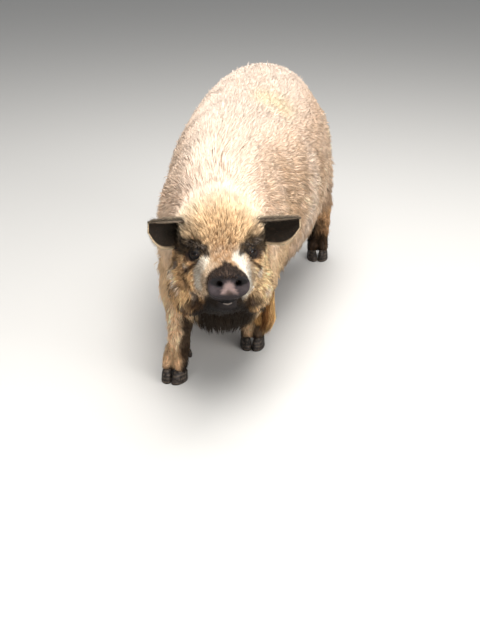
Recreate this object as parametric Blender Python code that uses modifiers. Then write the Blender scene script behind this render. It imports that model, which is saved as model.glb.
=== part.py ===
"""A walking kunekune pig as a still, life-size model.

Metres, +Z up. The pig faces -Y and its left side is +X. The origin is on the floor, under the middle of
the model's bounding box. The flesh is lofted from named stations, fused and smoothed as one body. Its
coat is flat, tapered locks set over it in staggered rows. The body is then parted into head, neck, torso
and legs with cuts 0.3 mm wide.
"""

import math
import random

import bmesh
import bpy
from mathutils import Matrix, Vector
from mathutils.bvhtree import BVHTree

# Gap that touching pieces keep between them
GAP = 0.0003

# Trunk: height at the croup and withers, greatest half width, and where it starts and ends along Y
CROUP_Z = 0.700
WITHERS_Z = 0.664
BRISKET_Z = 0.144
BELLY_HALF = 0.240
CHEST_Y = -0.43
RUMP_Y = 0.570
# How far the flesh of the trunk lies inside its stations at the flanks and along the back, to leave room for the locks
FLANK_COAT = 0.013
BACK_COAT = 0.003

# Head: the point between the eyes, the way the face turns, and its main sizes
FACE = Vector((0.076, -0.612, 0.466))
FACE_TURN = math.radians(17.0)
CHEEK_HALF = 0.114
POLL_Z = 0.556
DISC_BACK = -0.113
DISC_Z = 0.412
DISC_HALF = 0.051
DISC_HIGH = 0.0390
DISC_PITCH = math.radians(11.0)
NOSTRIL_SIDE = 0.0235
NOSTRIL_UP = 0.008

# Eyes, the lids round them, and the way they look in the head's own directions
EYE_RADIUS = 0.0125
EYE_SPACING = 0.132
EYE_Z = 0.459
EYE_DEPTH = 0.0095
LID_THICKNESS = 0.0032
LID_OPENING = (0.0110, 0.0056)
EYE_LOOK = Vector((0.42, -0.90, 0.06))

# Ears: how far each one reaches out, as a share of the drawn length
EAR_REACH = {-1: 0.955, 1: 1.03}
EAR_THICKNESS = 0.0050

# Feet: the middle of each foot on the floor, and the way its toes turn
FEET = {
    "front_right": (Vector((-0.097, -0.440, 0.0)), math.radians(-8.0)),
    "front_left": (Vector((0.076, -0.196, 0.0)), math.radians(4.0)),
    "hind_right": (Vector((-0.125, 0.235, 0.0)), math.radians(-8.0)),
    "hind_left": (Vector((0.172, 0.528, 0.0)), math.radians(8.0)),
}
HOOF_LENGTH = 0.060
HOOF_WIDTH = 0.033
HOOF_HEIGHT = 0.036
TOE_SPACING = 0.038
FETLOCK_Z = 0.078
# Outline of one claw seen from above, as shares of its width and length, with the cleft on its -X side
CLAW_OUTLINE = [
    (-0.46, -0.40), (-0.22, -0.50), (0.12, -0.45), (0.36, -0.26), (0.49, 0.02),
    (0.45, 0.30), (0.22, 0.48), (-0.18, 0.50), (-0.44, 0.36), (-0.50, 0.00),
]

# How finely the flesh is fused, and how many triangles it keeps
TRUNK_VOXEL = 0.009
BODY_VOXEL = 0.005
BODY_TRIANGLES = 2850
RING_SEGMENTS = 24

# Locks of the coat, by region: length, half width, thickness, and how far the tip stands off
LOCKS = {
    "back": (0.210, 0.054, 0.0060, 0.0135),
    "mane": (0.180, 0.044, 0.0070, 0.0190),
    "fringe": (0.140, 0.042, 0.0060, 0.0180),
    "forehead": (0.078, 0.020, 0.0040, 0.0090),
    "cheek": (0.086, 0.024, 0.0045, 0.0100),
    "leg": (0.090, 0.026, 0.0040, 0.0080),
    "elbow": (0.120, 0.030, 0.0060, 0.0160),
}
# Share of a lock's length, share of its width, height of its underside over the skin as a share of the lift
LOCK_SECTIONS = [(0.00, 0.42, -0.70), (0.27, 1.00, 0.15), (0.64, 0.80, 0.75)]
LOCK_SWING = 0.16
# Where the long clump behind the left elbow is rooted
ELBOW_CLUMP = Vector((0.145, -0.225, 0.215))
LOCK_STRIDE = 0.015
LOCK_SEED = 11
# Distance between the rows of roots, and the number of roots round each row
TRUNK_STEP = 0.134
TRUNK_COUNT = 12
FACE_STEP = 0.044
FACE_COUNT = 11
LEG_COUNT = 3
# Where the face ends towards the neck, and the bare ring round the eyes
FACE_EDGE = 0.118
BARE_EYE = 0.034

# Colour and roughness of each material
HAIR = ((0.760, 0.640, 0.470), 0.80)
EAR_SKIN = ((0.180, 0.150, 0.140), 0.70)
EYE_WET = ((0.020, 0.014, 0.010), 0.06)
HORN = ((0.090, 0.075, 0.062), 0.45)


def clear_scene():
    """Removes every object that the scene starts with."""
    for thing in list(bpy.data.objects):
        bpy.data.objects.remove(thing, do_unlink=True)


def new_object(name, bm, collection):
    """A mesh object from a bmesh, in triangles that point outwards."""
    bmesh.ops.triangulate(bm, faces=bm.faces)
    bmesh.ops.recalc_face_normals(bm, faces=bm.faces)
    mesh = bpy.data.meshes.new(name)
    bm.to_mesh(mesh)
    bm.free()
    made = bpy.data.objects.new(name, mesh)
    collection.objects.link(made)
    return made


def blend(low, high, share):
    """The number or vector that lies this share of the way from low to high."""
    return low + (high - low) * share


def between(rows, per_span):
    """Rows of numbers with more rows put between them along a Catmull-Rom curve."""
    found = []
    last = len(rows) - 1
    for i in range(last):
        before, start, end, after = (rows[max(0, min(last, i + k))] for k in (-1, 0, 1, 2))
        for step in range(per_span):
            t = step / per_span
            found.append([
                0.5 * (2 * b + (c - a) * t + (2 * a - 5 * b + 4 * c - d) * t**2 + (3 * b - a - 3 * c + d) * t**3)
                for a, b, c, d in zip(before, start, end, after)
            ])
    found.append(list(rows[last]))
    return found


def ring_points(centre, side, up, half, rise, drop, power=2.0, segments=RING_SEGMENTS):
    """Points round a rounded outline with its own height above and below its widest level."""
    points = []
    for k in range(segments):
        angle = 2 * math.pi * k / segments
        across, along = math.cos(angle), math.sin(angle)
        across = math.copysign(abs(across) ** (2 / power), across)
        along = math.copysign(abs(along) ** (2 / power), along)
        points.append(centre + side * (half * across) + up * ((rise if along > 0 else drop) * along))
    return points


def loft(name, rings, collection):
    """A closed skin over rings of points, with a flat cap at each end."""
    bm = bmesh.new()
    made = [[bm.verts.new(p) for p in ring] for ring in rings]
    count = len(rings[0])
    for low, high in zip(made, made[1:]):
        for k in range(count):
            after = (k + 1) % count
            bm.faces.new((low[k], low[after], high[after], high[k]))
    bm.faces.new(made[0])
    bm.faces.new(made[-1])
    return new_object(name, bm, collection)


def ball(name, centre, radii, collection, turn=0.0, segments=24, rings=14):
    """An ellipsoid with these three radii, turned about Z."""
    bm = bmesh.new()
    bmesh.ops.create_uvsphere(bm, u_segments=segments, v_segments=rings, radius=1.0)
    place = Matrix.Translation(centre) @ Matrix.Rotation(turn, 4, "Z") @ Matrix.Diagonal((*radii, 1.0))
    bmesh.ops.transform(bm, matrix=place, verts=bm.verts)
    return new_object(name, bm, collection)


def limb(name, stations, collection, grow=0.0, per_span=4, segments=RING_SEGMENTS):
    """A tube through stations of x, y, z, half width and half depth, each ring square to its path."""
    rows = between(stations, per_span)
    points = [Vector(row[:3]) for row in rows]
    rings = []
    for i, (point, row) in enumerate(zip(points, rows)):
        ahead = (points[min(i + 1, len(points) - 1)] - points[max(i - 1, 0)]).normalized()
        side = Vector((0, 1, 0)).cross(ahead).normalized()
        depth = ahead.cross(side)
        half, deep = row[3] + grow, row[4] + grow
        rings.append(ring_points(point, side, depth, half, deep, deep, segments=segments))
    rings[0] = [p + (points[0] - points[1]).normalized() * grow for p in rings[0]]
    rings[-1] = [p + (points[-1] - points[-2]).normalized() * grow for p in rings[-1]]
    return loft(name, rings, collection)


def face_point(side, back, z):
    """A place on the head: metres to its left, metres behind the eyes, and height over the floor."""
    turn = Matrix.Rotation(FACE_TURN, 3, "Z")
    return Vector((FACE.x, FACE.y, 0.0)) + turn @ Vector((side, back, 0.0)) + Vector((0, 0, z))


def baked(thing):
    """Puts what the object's modifiers make into its own mesh."""
    bpy.context.view_layer.update()
    graph = bpy.context.evaluated_depsgraph_get()
    mesh = bpy.data.meshes.new_from_object(thing.evaluated_get(graph))
    thing.modifiers.clear()
    thing.data = mesh
    return thing


def joined(name, things, collection):
    """One object that holds the meshes of several, which are removed."""
    bm = bmesh.new()
    for thing in things:
        bm.from_mesh(thing.data)
        bpy.data.objects.remove(thing, do_unlink=True)
    mesh = bpy.data.meshes.new(name)
    bm.to_mesh(mesh)
    bm.free()
    made = bpy.data.objects.new(name, mesh)
    collection.objects.link(made)
    return made


def fused(thing, voxel, smoothing):
    """One skin round everything in the object, softened where its pieces meet."""
    remesh = thing.modifiers.new("fuse", "REMESH")
    remesh.mode = "VOXEL"
    remesh.voxel_size = voxel
    smooth = thing.modifiers.new("soften", "SMOOTH")
    smooth.factor = 0.5
    smooth.iterations = smoothing
    return baked(thing)


def thinned(thing, triangles):
    """The same surface with about this many triangles."""
    thing.modifiers.new("split", "TRIANGULATE")
    baked(thing)
    fewer = thing.modifiers.new("thin", "DECIMATE")
    fewer.ratio = triangles / len(thing.data.polygons)
    return baked(thing)


def trunk_rings():
    """Rings of the neck and trunk, from inside the head to the rump."""
    # y, sideways shift, half width, top, widest level, bottom
    stations = [
        (CHEST_Y - 0.080, 0.046, 0.112, 0.548, 0.415, 0.268),
        (CHEST_Y - 0.040, 0.036, 0.142, 0.574, 0.395, 0.206),
        (CHEST_Y + 0.020, 0.022, 0.158, 0.606, 0.385, 0.164),
        (CHEST_Y + 0.100, 0.008, 0.168, 0.640, 0.385, BRISKET_Z),
        (-0.220, 0.000, 0.176, WITHERS_Z, 0.395, BRISKET_Z + 0.006),
        (-0.100, 0.000, 0.204, WITHERS_Z + 0.006, 0.395, 0.168),
        (0.030, 0.000, 0.230, WITHERS_Z + 0.012, 0.390, 0.172),
        (0.150, 0.000, BELLY_HALF, CROUP_Z - 0.014, 0.390, 0.176),
        (0.260, 0.000, 0.238, CROUP_Z - 0.003, 0.400, 0.190),
        (0.360, 0.000, 0.223, CROUP_Z, 0.420, 0.222),
        (0.450, 0.000, 0.197, CROUP_Z - 0.014, 0.440, 0.266),
        (RUMP_Y - 0.045, 0.000, 0.156, CROUP_Z - 0.052, 0.460, 0.322),
        (RUMP_Y - 0.010, 0.000, 0.104, CROUP_Z - 0.106, 0.475, 0.372),
        (RUMP_Y + 0.004, 0.000, 0.042, CROUP_Z - 0.168, 0.480, 0.430),
    ]
    rings = []
    for y, shift, half, top, widest, bottom in between(stations, 4):
        centre = Vector((shift, y, widest))
        half, rise = half - FLANK_COAT, top - BACK_COAT - widest
        rings.append(ring_points(centre, Vector((1, 0, 0)), Vector((0, 0, 1)), half, rise, widest - bottom, 2.1))
    return rings


def face_rings(stations, per_span=3):
    """Rings across the head from rows of metres behind the eyes, half width, top, widest level, bottom, squareness."""
    side = face_turn() @ Vector((1, 0, 0))
    rings = []
    for back, half, top, widest, bottom, power in between(stations, per_span):
        centre = face_point(0.0, back, widest)
        rings.append(ring_points(centre, side, Vector((0, 0, 1)), half, top - widest, widest - bottom, power))
    return rings


def skull_rings():
    """Rings of the forehead, cheeks and upper muzzle, from inside the neck to the snout."""
    return face_rings([
        (0.175, 0.116, POLL_Z + 0.006, 0.425, 0.290, 2.2),
        (0.125, CHEEK_HALF + 0.006, POLL_Z + 0.006, 0.415, 0.276, 2.2),
        (0.080, CHEEK_HALF + 0.004, POLL_Z + 0.002, 0.405, 0.282, 2.2),
        (0.038, CHEEK_HALF - 0.004, POLL_Z - 0.010, 0.400, 0.298, 2.2),
        (0.004, 0.099, POLL_Z - 0.036, 0.400, 0.318, 2.2),
        (-0.024, 0.084, POLL_Z - 0.070, 0.402, 0.334, 2.2),
        (-0.050, 0.068, POLL_Z - 0.096, 0.404, 0.346, 2.3),
        (-0.076, 0.055, POLL_Z - 0.107, 0.408, 0.358, 2.4),
        (DISC_BACK + 0.017, 0.047, POLL_Z - 0.110, 0.409, 0.366, 2.4),
    ])


def jaw_rings():
    """Rings of the lower jaw, from the throat to the chin."""
    return face_rings([
        (0.120, 0.100, 0.400, 0.345, 0.248, 2.2),
        (0.070, 0.092, 0.395, 0.345, 0.262, 2.2),
        (0.020, 0.075, 0.385, 0.347, 0.284, 2.2),
        (-0.024, 0.056, 0.376, 0.349, 0.306, 2.2),
        (-0.058, 0.042, 0.368, 0.350, 0.322, 2.2),
        (-0.082, 0.029, 0.363, 0.351, 0.332, 2.2),
        (-0.094, 0.014, 0.359, 0.351, 0.341, 2.0),
    ])


# x, y, z, half width and half depth of each leg from its root to the cannon bone
LEG_JOINTS = {
    "front_right": [
        (-0.104, -0.250, 0.400, 0.070, 0.088),
        (-0.108, -0.292, 0.310, 0.062, 0.076),
        (-0.104, -0.336, 0.235, 0.051, 0.064),
        (-0.093, -0.386, 0.165, 0.037, 0.048),
        (-0.089, -0.424, 0.115, 0.029, 0.033),
    ],
    "front_left": [
        (0.100, -0.240, 0.400, 0.070, 0.088),
        (0.102, -0.240, 0.310, 0.060, 0.076),
        (0.098, -0.228, 0.235, 0.050, 0.064),
        (0.092, -0.212, 0.165, 0.038, 0.049),
        (0.082, -0.194, 0.115, 0.029, 0.033),
    ],
    "hind_right": [
        (-0.112, 0.350, 0.450, 0.092, 0.140),
        (-0.128, 0.315, 0.340, 0.078, 0.112),
        (-0.130, 0.290, 0.255, 0.057, 0.074),
        (-0.128, 0.305, 0.185, 0.041, 0.049),
        (-0.126, 0.280, 0.125, 0.032, 0.036),
    ],
    "hind_left": [
        (0.120, 0.370, 0.450, 0.094, 0.140),
        (0.146, 0.392, 0.345, 0.080, 0.110),
        (0.162, 0.424, 0.265, 0.057, 0.073),
        (0.174, 0.496, 0.200, 0.041, 0.048),
        (0.178, 0.530, 0.135, 0.032, 0.036),
    ],
}


def leg_stations(foot):
    """Stations of a leg from its root down to the fetlock, which stands over the back of the foot."""
    fetlock = foot_frame(foot) @ Vector((0.0, 0.016, FETLOCK_Z))
    return [*LEG_JOINTS[foot], (*fetlock, 0.034, 0.036)]


def foot_frame(foot):
    """The matrix that puts a foot, modelled at the origin with its toes to -Y, in its place."""
    place, turn = FEET[foot]
    return Matrix.Translation(place) @ Matrix.Rotation(turn, 4, "Z")


def toes(foot, collection):
    """The flesh of the two toes, from the fetlock down into the hooves."""
    made = []
    for side in (-1, 1):
        across = side * TOE_SPACING / 2
        stations = [
            (across * 0.35, 0.018, FETLOCK_Z + 0.008, 0.025, 0.031),
            (across * 0.70, 0.004, FETLOCK_Z - 0.020, 0.022, 0.027),
            (across * 0.95, -0.006, FETLOCK_Z - 0.038, 0.0185, 0.0225),
            (across, -0.008, HOOF_HEIGHT - 0.012, 0.013, 0.016),
        ]
        toe = limb("toe", stations, collection)
        toe.data.transform(foot_frame(foot))
        made.append(toe)
    return made


def flesh(build):
    """The whole pig without ears, snout disc, hooves and tail, fused from its lofts and muscle forms."""
    trunk = [loft("trunk", trunk_rings(), build)]
    for side in (-1, 1):
        trunk.append(ball("shoulder", Vector((side * 0.100, -0.245, 0.400)), (0.080, 0.120, 0.170), build))
        trunk.append(ball("ham", Vector((side * 0.126, 0.368 + side * 0.020, 0.430)), (0.090, 0.150, 0.180), build))
    for foot in FEET:
        trunk.append(limb("upper_" + foot, leg_stations(foot)[:4], build))
    trunk = fused(joined("trunk", trunk, build), TRUNK_VOXEL, 16)
    pieces = [trunk, loft("skull", skull_rings(), build), loft("jaw", jaw_rings(), build)]
    for side in (-1, 1):
        pieces.append(ball("jowl", face_point(side * 0.072, 0.080, 0.345), (0.060, 0.086, 0.078), build, FACE_TURN))
        pieces.append(ball("brow", face_point(side * 0.060, 0.028, 0.490), (0.034, 0.034, 0.018), build, FACE_TURN))
        pieces.append(ball("cheekbone", face_point(side * 0.066, 0.020, 0.424), (0.038, 0.050, 0.032), build, FACE_TURN))
    for foot in FEET:
        pieces.append(limb("leg_" + foot, leg_stations(foot)[1:], build))
        pieces.extend(toes(foot, build))
    return fused(joined("flesh", pieces, build), BODY_VOXEL, 4)


def boolean(thing, others, operation, solver="EXACT"):
    """Cuts the object by others, joins them to it, or keeps what they share. The others are removed."""
    tools = bpy.data.collections.new("tools")
    bpy.context.scene.collection.children.link(tools)
    for other in others:
        for home in list(other.users_collection):
            home.objects.unlink(other)
        tools.objects.link(other)
    cut = thing.modifiers.new(operation.lower(), "BOOLEAN")
    cut.operation = operation
    cut.operand_type = "COLLECTION"
    cut.collection = tools
    cut.solver = solver
    baked(thing)
    for other in others:
        bpy.data.objects.remove(other, do_unlink=True)
    bpy.data.collections.remove(tools)
    return largest(thing)


def largest(thing):
    """Keeps only the object's largest closed surface, and drops any loose scrap."""
    bm = bmesh.new()
    bm.from_mesh(thing.data)
    left = set(bm.verts)
    bodies = []
    while left:
        seed = left.pop()
        found, edge = {seed}, [seed]
        while edge:
            vert = edge.pop()
            for link in vert.link_edges:
                other = link.other_vert(vert)
                if other not in found:
                    found.add(other)
                    edge.append(other)
        left -= found
        bodies.append(found)
    bodies.sort(key=len)
    for body in bodies[:-1]:
        bmesh.ops.delete(bm, geom=list(body), context="VERTS")
    bm.to_mesh(thing.data)
    bm.free()
    return thing


def copy_of(thing, name, collection):
    """A second object with its own copy of the mesh."""
    made = bpy.data.objects.new(name, thing.data.copy())
    collection.objects.link(made)
    return made


def half_space(point, normal, build, size=3.0):
    """A large block that starts half a gap past the plane and lies on the side that normal points to."""
    bm = bmesh.new()
    bmesh.ops.create_cube(bm, size=size)
    turn = normal.to_track_quat("Z", "Y").to_matrix().to_4x4()
    place = Matrix.Translation(point + normal * (size / 2 + GAP / 2)) @ turn
    bmesh.ops.transform(bm, matrix=place, verts=bm.verts)
    return new_object("half_space", bm, build)


def parted(thing, name, point, normal, collection):
    """Splits an object at a plane: the side that normal points to becomes a new object with this name."""
    ahead = copy_of(thing, name, collection)
    boolean(ahead, [half_space(point, normal, collection)], "INTERSECT", "MANIFOLD")
    boolean(thing, [half_space(point, -normal, collection)], "INTERSECT", "MANIFOLD")
    return ahead


def swollen(thing, amount, collection):
    """A copy of a closed object whose every face has moved outwards by this amount."""
    grown = copy_of(thing, thing.name + "_grown", collection)
    bm = bmesh.new()
    bm.from_mesh(grown.data)
    bm.normal_update()
    moves = []
    for vert in bm.verts:
        least = min(vert.normal.dot(face.normal) for face in vert.link_faces)
        moves.append((vert, vert.normal * (amount / max(least, 0.35))))
    for vert, move in moves:
        vert.co += move
    bm.to_mesh(grown.data)
    bm.free()
    return grown


def leg_region(foot, collection, grow=0.0):
    """The closed space that holds a leg, from its root inside the trunk down past the floor."""
    wider = [(x, y, z, half + 0.012, depth + 0.012) for x, y, z, half, depth in LEG_JOINTS[foot]]
    x, y, z, half, depth = wider[0]
    low = foot_frame(foot) @ Vector((0.0, 0.004, 0.0))
    stations = [
        (x, y, z + 0.062, half * 0.30, depth * 0.30),
        (x, y, z + 0.046, half * 0.74, depth * 0.74),
        *wider,
        (low.x, low.y, FETLOCK_Z, 0.058, 0.062),
        (low.x, low.y, -0.030, 0.064, 0.070),
    ]
    return limb("region_" + foot, stations, collection, grow, per_span=1, segments=11)


def face_turn():
    """The turn from the head's own directions to the model's."""
    return Matrix.Rotation(FACE_TURN, 3, "Z")


def on_face(head, side, z):
    """The point of the head's surface that is met from in front at this side and height."""
    tree = BVHTree.FromObject(head, bpy.context.evaluated_depsgraph_get())
    hit = tree.ray_cast(face_point(side, -0.300, z), face_turn() @ Vector((0, 1, 0)))
    return hit[0]


def disc_frame():
    """The matrix of the snout disc: its face lies in X and Z, and -Y points out of it."""
    place = Matrix.Translation(face_point(0.0, DISC_BACK, DISC_Z))
    return place @ Matrix.Rotation(FACE_TURN, 4, "Z") @ Matrix.Rotation(DISC_PITCH, 4, "X")


def snout_disc(collection):
    """The oval disc of the snout, with a raised rim and a shallow face."""
    # metres behind the face, and share of the full size
    rows = [(0.028, 0.80), (0.015, 0.90), (0.006, 0.99), (0.001, 1.00), (-0.002, 0.95), (-0.0015, 0.86), (0.001, 0.45)]
    rings = []
    for back, share in rows:
        ring = ring_points(
            Vector((0, back, 0)), Vector((1, 0, 0)), Vector((0, 0, 1)),
            DISC_HALF * share, DISC_HIGH * share, DISC_HIGH * share * 0.96, 2.3, 20,
        )
        rings.append([disc_frame() @ p for p in ring])
    return loft("disc", rings, collection)


def nostril(side, collection):
    """A cutter for one nostril, an oval hole that narrows and turns inwards."""
    rings = []
    for back, across, up, half, high in (
        (-0.010, 1.06, 1.00, 0.0084, 0.0098), (0.002, 1.00, 1.00, 0.0076, 0.0088),
        (0.012, 0.86, 0.80, 0.0060, 0.0070), (0.026, 0.62, 0.30, 0.0036, 0.0040),
    ):
        centre = Vector((side * NOSTRIL_SIDE * across, back, NOSTRIL_UP * up))
        ring = ring_points(centre, Vector((1, 0, 0)), Vector((0, 0, 1)), half, high, high, 2.0, 10)
        rings.append([disc_frame() @ p for p in ring])
    return loft("nostril", rings, collection)


def mouth_cut(head, collection):
    """A cutter for the line of the mouth, laid along the surface under the disc and back along the cheeks."""
    tree = BVHTree.FromObject(head, bpy.context.evaluated_depsgraph_get())
    half_line = [
        (0.017, -0.100, 0.358), (0.033, -0.084, 0.362), (0.047, -0.058, 0.368),
        (0.059, -0.030, 0.373), (0.071, -0.002, 0.379),
    ]
    line = [(-side, back, z) for side, back, z in reversed(half_line)] + [(0.0, -0.106, 0.356)] + half_line
    stations = []
    for i, (side, back, z) in enumerate(line):
        near = tree.find_nearest(face_point(side, back, z))[0]
        radius = 0.0012 if i in (0, len(line) - 1) else 0.0026
        stations.append((*near, radius, radius))
    return limb("mouth", stations, collection, per_span=1, segments=6)


def eye_place(head, side):
    """The middle of one eye, just under the surface of the head."""
    return on_face(head, side * EYE_SPACING / 2, EYE_Z) + face_turn() @ Vector((0, EYE_DEPTH, 0))


def look(side):
    """The way one eye looks, in the model's directions."""
    return (face_turn() @ Vector((side * EYE_LOOK.x, EYE_LOOK.y, EYE_LOOK.z))).normalized()


def lid_opening(centre, side, collection):
    """A cutter with an almond outline that opens the lids in front of an eye."""
    ahead = look(side)
    across = Vector((0, 0, 1)).cross(ahead).normalized()
    up = ahead.cross(across)
    tilt = Matrix.Rotation(math.radians(8.0) * side, 3, ahead)
    across, up = tilt @ across, tilt @ up
    rings = []
    for forward, size in ((0.002, 0.80), (0.012, 1.0), (0.032, 1.5)):
        points = []
        for k in range(14):
            angle = 2 * math.pi * k / 14
            wide, high = math.cos(angle), math.sin(angle)
            point = centre + ahead * forward
            point = point + across * (LID_OPENING[0] * size * wide) + up * (LID_OPENING[1] * size * high * abs(high) ** 0.3)
            points.append(point)
        rings.append(points)
    return loft("opening", rings, collection)


def ear_grid(side):
    """Points over one ear, from inside the head to the tip, and from its upper to its lower margin."""
    upper = [
        (0.046, 0.070, 0.500), (0.072, 0.060, 0.508), (0.104, 0.046, 0.515),
        (0.136, 0.034, 0.521), (0.166, 0.024, 0.527), (0.188, 0.020, 0.530),
    ]
    lower = [
        (0.082, 0.098, 0.440), (0.104, 0.086, 0.444), (0.130, 0.066, 0.445),
        (0.152, 0.048, 0.452), (0.172, 0.036, 0.470), (0.190, 0.026, 0.504),
    ]
    cup = [0.020, 0.034, 0.040, 0.038, 0.026, 0.006]
    rows = between([(*a, *b, c) for a, b, c in zip(upper, lower, cup)], 2)
    grid = []
    for row in rows:
        top, bottom, depth = Vector(row[:3]), Vector(row[3:6]), row[6]
        line = []
        for step in range(6):
            share = step / 5
            point = blend(top, bottom, share)
            fold = math.sin(math.pi * share ** 0.8)
            point += Vector((0.0, 0.86, 0.42)) * (depth * fold)
            line.append(face_point(side * point.x * EAR_REACH[side], point.y, point.z))
        grid.append(line)
    return grid


def sheet(name, grid, thickness, collection):
    """A curved sheet of this thickness over a grid of points, split into triangles alike on both faces."""
    bm = bmesh.new()
    made = [[bm.verts.new(point) for point in line] for line in grid]
    for low, high in zip(made, made[1:]):
        for k in range(len(low) - 1):
            bm.faces.new((low[k], high[k], high[k + 1], low[k + 1]))
    thing = new_object(name, bm, collection)
    solid = thing.modifiers.new("thicken", "SOLIDIFY")
    solid.thickness = thickness
    solid.offset = 0.0
    thing.modifiers.new("split", "TRIANGULATE")
    return baked(thing)


def claw(foot, side, collection):
    """One claw of a cloven hoof: a flat sole, a wall that slopes back from the toe, and a slanted coronet."""
    # height at the toe, height at the heel, share of the full size, metres moved back
    rows = [(0.0, 0.0, 0.97, 0.0), (0.006, 0.006, 1.00, 0.0), (0.022, 0.016, 0.93, 0.003), (HOOF_HEIGHT, 0.024, 0.80, 0.009)]
    turn = Matrix.Rotation(math.radians(-7.0) * side, 4, "Z")
    place = foot_frame(foot) @ Matrix.Translation((side * TOE_SPACING / 2, -0.016, 0.0)) @ turn
    rings = []
    for toe, heel, share, back in rows:
        ring = []
        for x, y in CLAW_OUTLINE:
            height = blend(toe, heel, y + 0.5)
            ring.append(place @ Vector((side * x * HOOF_WIDTH * share, y * HOOF_LENGTH * share + back, height)))
        rings.append(ring)
    name = "hoof_{}_{}".format(foot, "outer" if (side > 0) == foot.endswith("left") else "inner")
    return loft(name, rings, collection)


def dewclaw(foot, side, collection):
    """One of the two small claws behind the fetlock, which hang clear of the floor."""
    rows = [
        (0.012, 0.024, 0.084, 0.0075, 0.008), (0.020, 0.038, 0.071, 0.0090, 0.010),
        (0.024, 0.046, 0.058, 0.0080, 0.009), (0.026, 0.048, 0.047, 0.0045, 0.005),
    ]
    stations = []
    for x, y, z, half, depth in rows:
        stations.append((*(foot_frame(foot) @ Vector((side * x, y, z))), half, depth))
    name = "dewclaw_{}_{}".format(foot, "outer" if (side > 0) == foot.endswith("left") else "inner")
    return limb(name, stations, collection, per_span=1, segments=6)


def tail(collection):
    """The tail, which hangs from the top of the rump with a slight curve."""
    stations = [
        (0.000, 0.520, 0.600, 0.022, 0.022),
        (0.002, 0.568, 0.590, 0.018, 0.018),
        (0.008, 0.604, 0.548, 0.0135, 0.0135),
        (0.016, 0.610, 0.490, 0.0105, 0.0105),
        (0.010, 0.600, 0.430, 0.0085, 0.0085),
        (-0.002, 0.598, 0.380, 0.0050, 0.0050),
    ]
    hanging = limb("tail", stations, collection, per_span=2, segments=7)
    switch = []
    for side, back in ((-0.016, -0.006), (0.018, 0.002), (0.000, 0.014)):
        strand = [
            (0.006, 0.600, 0.420, 0.0040, 0.0040),
            (side * 0.7, 0.598 + back * 0.7, 0.372, 0.0060, 0.0050),
            (side, 0.596 + back, 0.318, 0.0010, 0.0010),
        ]
        switch.append(limb("strand", strand, collection, per_span=1, segments=5))
    return boolean(hanging, switch, "UNION", "MANIFOLD")


def painted(thing, name, look_of):
    """Gives the object its own Principled material."""
    colour, roughness = look_of
    material = bpy.data.materials.new(name)
    material.use_nodes = True
    shader = material.node_tree.nodes["Principled BSDF"]
    shader.inputs["Base Color"].default_value = (*colour, 1.0)
    shader.inputs["Roughness"].default_value = roughness
    thing.data.materials.clear()
    thing.data.materials.append(material)


def face_local(point):
    """The side, depth and height of a point in the head's own directions."""
    turned = Matrix.Rotation(-FACE_TURN, 3, "Z") @ (point - Vector((FACE.x, FACE.y, 0.0)))
    return turned.x, turned.y, point.z


def lie(point, normal):
    """The way the coat lies at a point: back from the snout, along the trunk, and down the sides and legs."""
    side, back, z = face_local(point)
    if back < FACE_EDGE and z > EYE_Z - 0.010:
        flow = face_turn() @ Vector((side * 5.0, 1.0, 0.5))
    elif back < FACE_EDGE and z > 0.240:
        flow = face_turn() @ Vector((side * 2.0, 1.0, -0.9))
    elif z < 0.220:
        flow = Vector((0.0, 0.15, -1.0))
    elif point.y < CHEST_Y + 0.06 and normal.z < 0.3:
        flow = Vector((0.0, 0.25, -1.0))
    else:
        steep = 0.10 + 0.48 * (1.0 - max(0.0, normal.z)) ** 1.5
        flow = Vector((0.0, 1.0 - 0.6 * steep, -steep))
    return (flow - normal * flow.dot(normal)).normalized()


def trunk_roots(tree, rng):
    """Roots of the locks on the neck and trunk: staggered rings of points, each with its region's name."""
    found = []
    for row in range(int((RUMP_Y - CHEST_Y) / TRUNK_STEP) + 1):
        for k in range(TRUNK_COUNT):
            angle = 2 * math.pi * (k + 0.5 * (row % 2) + rng.uniform(-0.12, 0.12)) / TRUNK_COUNT
            along = CHEST_Y + 0.015 + (row + rng.uniform(-0.12, 0.12)) * TRUNK_STEP
            out = Vector((math.cos(angle), 0.0, math.sin(angle)))
            hit, normal = tree.ray_cast(Vector((0.0, along, 0.410)), out)[:2]
            if hit is None or normal.z < -0.62 or hit.z < 0.225 or face_local(hit)[1] < FACE_EDGE + 0.005:
                continue
            name = "fringe" if hit.z < 0.330 else "back"
            if along < -0.100 and abs(math.cos(angle)) < 0.45 and hit.z > 0.55:
                name = "mane"
            found.append((name, hit))
    for side, z in ((-0.105, 0.270), (-0.038, 0.240), (0.038, 0.240), (0.105, 0.270)):
        found.append(("fringe", tree.find_nearest(face_point(side, 0.050, z))[0]))
    return found


def face_roots(tree, rng):
    """Roots of the locks on the forehead, poll, cheeks and jowls."""
    found = []
    for row in range(3):
        for k in range(FACE_COUNT):
            angle = 2 * math.pi * (k + 0.5 * (row % 2) + rng.uniform(-0.10, 0.10)) / FACE_COUNT
            out = face_turn() @ Vector((math.cos(angle), 0.0, math.sin(angle)))
            hit = tree.ray_cast(face_point(0.0, 0.006 + row * FACE_STEP, 0.425), out)[0]
            side, depth, z = face_local(hit)
            near_eye = math.hypot(abs(side) - EYE_SPACING / 2, z - EYE_Z) < BARE_EYE and depth < 0.045
            ear_root = abs(side) > 0.066 and 0.425 < z < 0.550 and depth > 0.030
            if near_eye or ear_root or z < 0.300 or (z < EYE_Z and depth < 0.020):
                continue
            found.append(("forehead" if z > EYE_Z else "cheek", hit))
    return found


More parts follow.
